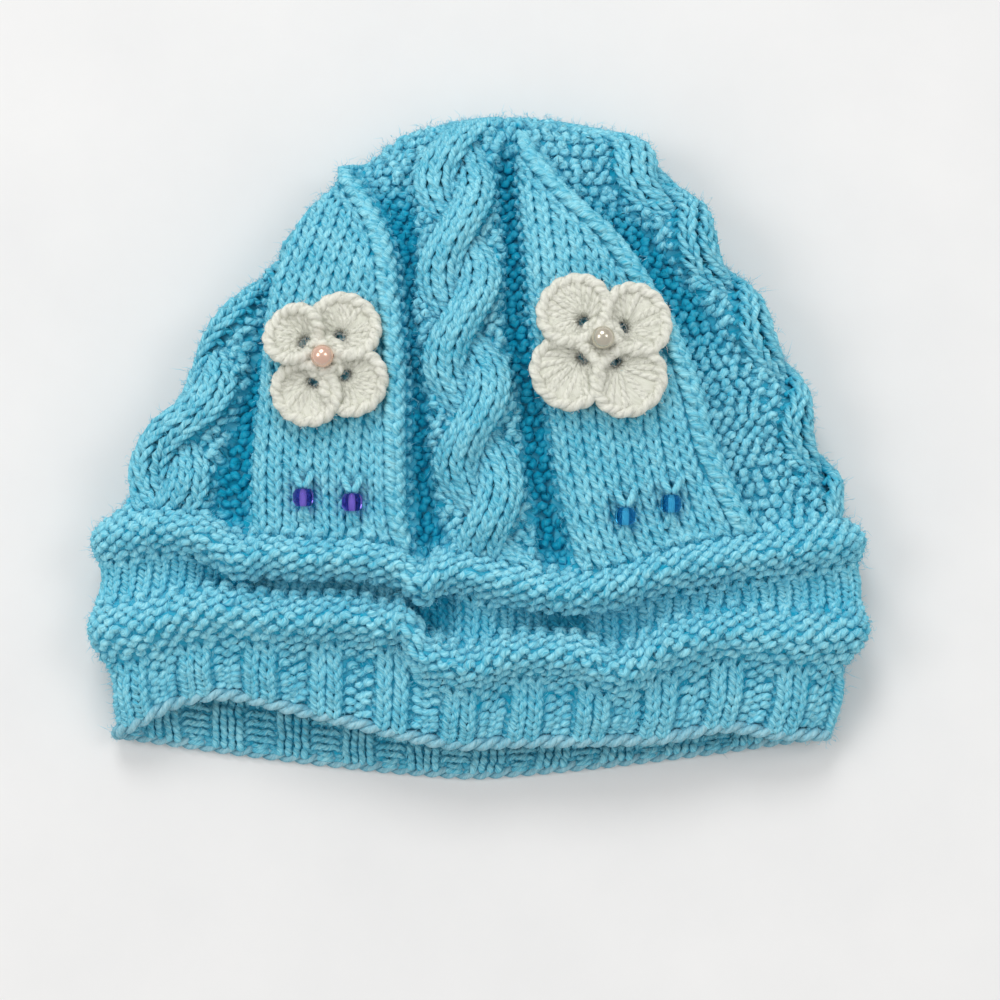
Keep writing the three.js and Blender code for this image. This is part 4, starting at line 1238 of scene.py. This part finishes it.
# the sunk and deep greys are painted shade in the hollows of the flowers
cream_yarn = plied_yarn("cream crochet yarn", "#a9b0a4", "#b4b9a8", "#dddfd1", "#f4f4ea", 0.3, "#ffffff")
cream_fibre = loose_fibre("loose cream fibre", "#e9e9de", "#fafaf4")
flower_axes = {}
for node, (x, y, petals) in FLOWERS.items():
    axes = seated_axes(x - MIDDLE[0], y - MIDDLE[1])
    pearl_middle = middle_of(node.replace("flower", "pearl"))
    origin = pearl_middle - (HEART_HEIGHT + SEAT_GAP + PEARL_RADIUS) * axes[2]
    flower_axes[node] = axes
    flower_pile = YarnPile()
    crochet_heart(flower_pile, axes, origin)
    for petal in petals:
        crochet_petal(flower_pile, petal, axes, origin)
    place_piece(flower_pile.to_object(node + "_yarn", cream_yarn), "cream_yarn", node)
    hairs = hair_pile([flower_pile], *FLOWER_HAIRS)
    place_piece(hairs.to_object(node + "_fibres", cream_fibre), "cream_yarn")

# %% [markdown]
# ## Pearls
#
# A coated bead, drilled for its thread. It starts as a ball whose two poles are cut off, and the two open
# edges are bridged to make the bore. The form is modelled once. Each pearl is a copy whose mesh is set in
# place.

# %% Pearl form


def edit_new(adding, **sizes):
    """Add a primitive with nothing else selected, and open it for editing."""
    bpy.ops.object.select_all(action="DESELECT")
    adding(location=(0, 0, 0), **sizes)
    bpy.ops.object.mode_set(mode="EDIT")
    bpy.ops.mesh.select_all(action="DESELECT")
    return bpy.context.object


def select_faces(piece, wanted):
    """In edit mode, select just the faces that a test wants."""
    bpy.ops.mesh.select_mode(type="FACE")
    shape = bmesh.from_edit_mesh(piece.data)
    for face in shape.faces:
        face.select_set(bool(wanted(face)))
    bmesh.update_edit_mesh(piece.data)


pearl_form = edit_new(bpy.ops.mesh.primitive_uv_sphere_add, segments=32, ring_count=18,
                      radius=PEARL_RADIUS * MM)
pole_height = math.sqrt(PEARL_RADIUS**2 - PEARL_BORE**2) * MM
select_faces(pearl_form, lambda face: abs(face.calc_center_median().z) > pole_height)
bpy.ops.mesh.delete(type="FACE")
bpy.ops.mesh.select_mode(type="EDGE")
bpy.ops.mesh.select_non_manifold()
bpy.ops.mesh.bridge_edge_loops()
bpy.ops.mesh.select_all(action="SELECT")
bpy.ops.mesh.normals_make_consistent(inside=False)
bpy.ops.object.mode_set(mode="OBJECT")
bpy.ops.object.shade_smooth_by_angle(angle=math.radians(35))
print("pearl form:", len(pearl_form.data.polygons), "faces")

# %% Pearls in place


def pearl_coat(name, deep, pale):
    """Pearl essence under lacquer: a soft body colour, a satin layer and a clear gloss on top."""
    material, tree = new_material(name)
    place = add_node(tree, "ShaderNodeTexCoord")
    swirl = add_node(tree, "ShaderNodeTexNoise", inputs={
        "Vector": place.outputs["Object"], "Scale": 1000 / 4, "Detail": 3.0, "Distortion": 0.6})
    tint = add_node(tree, "ShaderNodeMix", {"data_type": "RGBA"}, {
        "Factor": swirl.outputs["Fac"], "A": linear(deep), "B": linear(pale)})
    shader = add_node(tree, "ShaderNodeBsdfPrincipled", inputs={
        "Base Color": tint.outputs["Result"], "Roughness": 0.25, "Metallic": 0.6,
        "Coat Weight": 1.0, "Coat Roughness": 0.05, "Coat IOR": 2.2})
    finish_material(tree, shader)
    return material


def copy_in_place(form, name, axes, middle, material):
    """Copy a form with its own mesh, set the mesh on three axes at a middle, and give it a material."""
    mesh = form.data.copy()
    mesh.name = name
    matrix = Matrix(axes.T.tolist()).to_4x4()
    matrix.translation = Vector((middle * MM).tolist())
    mesh.transform(matrix)
    mesh.materials.clear()
    mesh.materials.append(material)
    piece = bpy.data.objects.new(name, mesh)
    bpy.context.scene.collection.objects.link(piece)
    return piece


PEARLS = {"left": ("#e0a98c", "#f2cfb9"), "right": ("#a79e87", "#d3ccb8")}
for side, colours in PEARLS.items():
    across, along, off = flower_axes["flower_" + side]
    bore_axes = np.stack([along, off, across])
    pearl = copy_in_place(pearl_form, "drilled_pearl_" + side, bore_axes, middle_of("pearl_" + side),
                          pearl_coat(side + " pearl coat", *colours))
    place_piece(pearl, "pearl", "pearl_" + side)
bpy.data.objects.remove(pearl_form)

# %% [markdown]
# ## Glass beads
#
# The four beads are cut glass: ten facets round, a shoulder at each end, and a bore with the yarn running
# through it. The form starts as a ten-sided drum. Each end is drawn out and narrowed to the shoulder,
# inset to the bore, and the two inner faces are bridged. A bevel rounds the facets, as firing does. The
# wall of the bore is lined in silver white, which shows through the glass as a pale stripe.

# %% Bead form
BEAD_RADIUS, BEAD_SHOULDER, BEAD_BORE, BEAD_FACETS = 3.2, 2.3, 0.8, 10
BEAD_HALF, BEAD_WAIST = 2.6, 1.2  # half the length of the bead and of its straight middle
BEAD_BEVEL = 0.4
bead_form = edit_new(bpy.ops.mesh.primitive_cylinder_add, vertices=BEAD_FACETS, radius=BEAD_RADIUS * MM,
                     depth=2 * BEAD_WAIST * MM)
narrowing = BEAD_SHOULDER / BEAD_RADIUS
for end in (1, -1):
    select_faces(bead_form, lambda face: face.normal.z * end > 0.9)
    bpy.ops.mesh.extrude_region_move(
        TRANSFORM_OT_translate={"value": (0, 0, end * (BEAD_HALF - BEAD_WAIST) * MM)})
    bpy.ops.transform.resize(value=(narrowing, narrowing, 1), center_override=(0, 0, 0))
    bpy.ops.mesh.inset(thickness=(BEAD_SHOULDER - BEAD_BORE) * math.cos(math.pi / BEAD_FACETS) * MM)
bore_reach = BEAD_BORE * 1.1 * MM
select_faces(bead_form, lambda face: abs(face.normal.z) > 0.9 and all(
    math.hypot(corner.co.x, corner.co.y) < bore_reach for corner in face.verts))
bpy.ops.mesh.bridge_edge_loops()
bpy.ops.mesh.select_all(action="SELECT")
bpy.ops.mesh.normals_make_consistent(inside=False)
bpy.ops.object.mode_set(mode="OBJECT")
soften = bead_form.modifiers.new("softened facets", "BEVEL")
soften.width = BEAD_BEVEL * MM
soften.segments = 3
soften.limit_method = "ANGLE"
soften.angle_limit = math.radians(20)
bpy.ops.object.modifier_apply(modifier=soften.name)
print("bead form:", len(bead_form.data.polygons), "faces")

# %% Beads in place


def cut_glass(name, deep, pale):
    """Soda glass coloured through, with faint streaks; polished facets."""
    material, tree = new_material(name)
    place = add_node(tree, "ShaderNodeTexCoord")
    streaks = add_node(tree, "ShaderNodeTexNoise", inputs={
        "Vector": place.outputs["Object"], "Scale": 1000 / 2.5, "Detail": 2.0, "Distortion": 0.8})
    tint = add_node(tree, "ShaderNodeMix", {"data_type": "RGBA"}, {
        "Factor": streaks.outputs["Fac"], "A": linear(deep), "B": linear(pale)})
    shader = add_node(tree, "ShaderNodeBsdfPrincipled", inputs={
        "Base Color": tint.outputs["Result"], "Roughness": 0.04, "IOR": 1.51, "Transmission Weight": 1.0,
        "Specular IOR Level": 0.3, "Specular Tint": linear(pale)})
    finish_material(tree, shader)
    return material


def silver_lining():
    """The pale lining of a drilled bead, seen through its glass."""
    material, tree = new_material("silver lining")
    shader = add_node(tree, "ShaderNodeBsdfPrincipled", inputs={
        "Base Color": linear("#f8fafc"), "Roughness": 0.5})
    finish_material(tree, shader)
    return material


GLASS = {
    "purple": cut_glass("purple soda glass", "#5f49d0", "#9a86ee"),
    "blue": cut_glass("blue soda glass", "#0a9ae4", "#5cd0fb"),
}
lining = silver_lining()
bore_faces = [math.hypot(*face.center[:2]) < bore_reach for face in bead_form.data.polygons]
bead_axes = {}
for node, middle in BEAD_MIDDLES.items():
    across, along, off = seated_axes(middle[0], middle[1])
    bead_axes[node] = (across, along, off)
    colour = node.split("_")[1]
    bead = copy_in_place(bead_form, node.replace("bead", "glass"), np.stack([across, -off, along]), middle,
                         GLASS[colour])
    bead.data.materials.append(lining)
    for face in bead.data.polygons:
        face.material_index = int(bore_faces[face.index])
    place_piece(bead, colour + "_glass", node)
bpy.data.objects.remove(bead_form)

# %% [markdown]
# The stitch that carries a bead has both its legs drawn through the bore. They come up below the bead,
# run side by side through it and open to a V above it.

# %% Legs through the beads
LEG_POINTS = np.array([
    # along the column, aside, off the fabric, radius of the yarn
    (-7.0, 1.2, -2.2, 1.05), (-4.4, 0.8, -0.4, 1.0), (-2.9, 0.4, 0.0, 0.45), (0.0, 0.38, 0.0, 0.36),
    (2.8, 0.4, 0.3, 0.5), (3.6, 0.8, 1.2, 1.05), (5.6, 1.9, 0.8, 1.1), (7.4, 2.5, -1.6, 1.05)])
LEG_RISE = 1.0  # the legs get as much painted light as the knit stitches round them
LEG_STEPS = 28
leg_places = np.arange(len(LEG_POINTS))
leg_share = np.linspace(0, len(LEG_POINTS) - 1, LEG_STEPS)
forward, aside, high, thick = (np.interp(leg_share, leg_places, column) for column in LEG_POINTS.T)
leg_pile = YarnPile()
for node, (across, along, off) in bead_axes.items():
    up = np.repeat(off[None, :], LEG_STEPS, axis=0)
    for side in (-1, 1):
        path = BEAD_MIDDLES[node] + forward[:, None] * along + (side * aside)[:, None] * across
        path = path + high[:, None] * off
        leg_pile.add_tube(path, up, thick, FRONT_SIDES, False, LEG_RISE)
place_piece(leg_pile.to_object("bead_legs", aqua_yarn), "aqua_yarn")
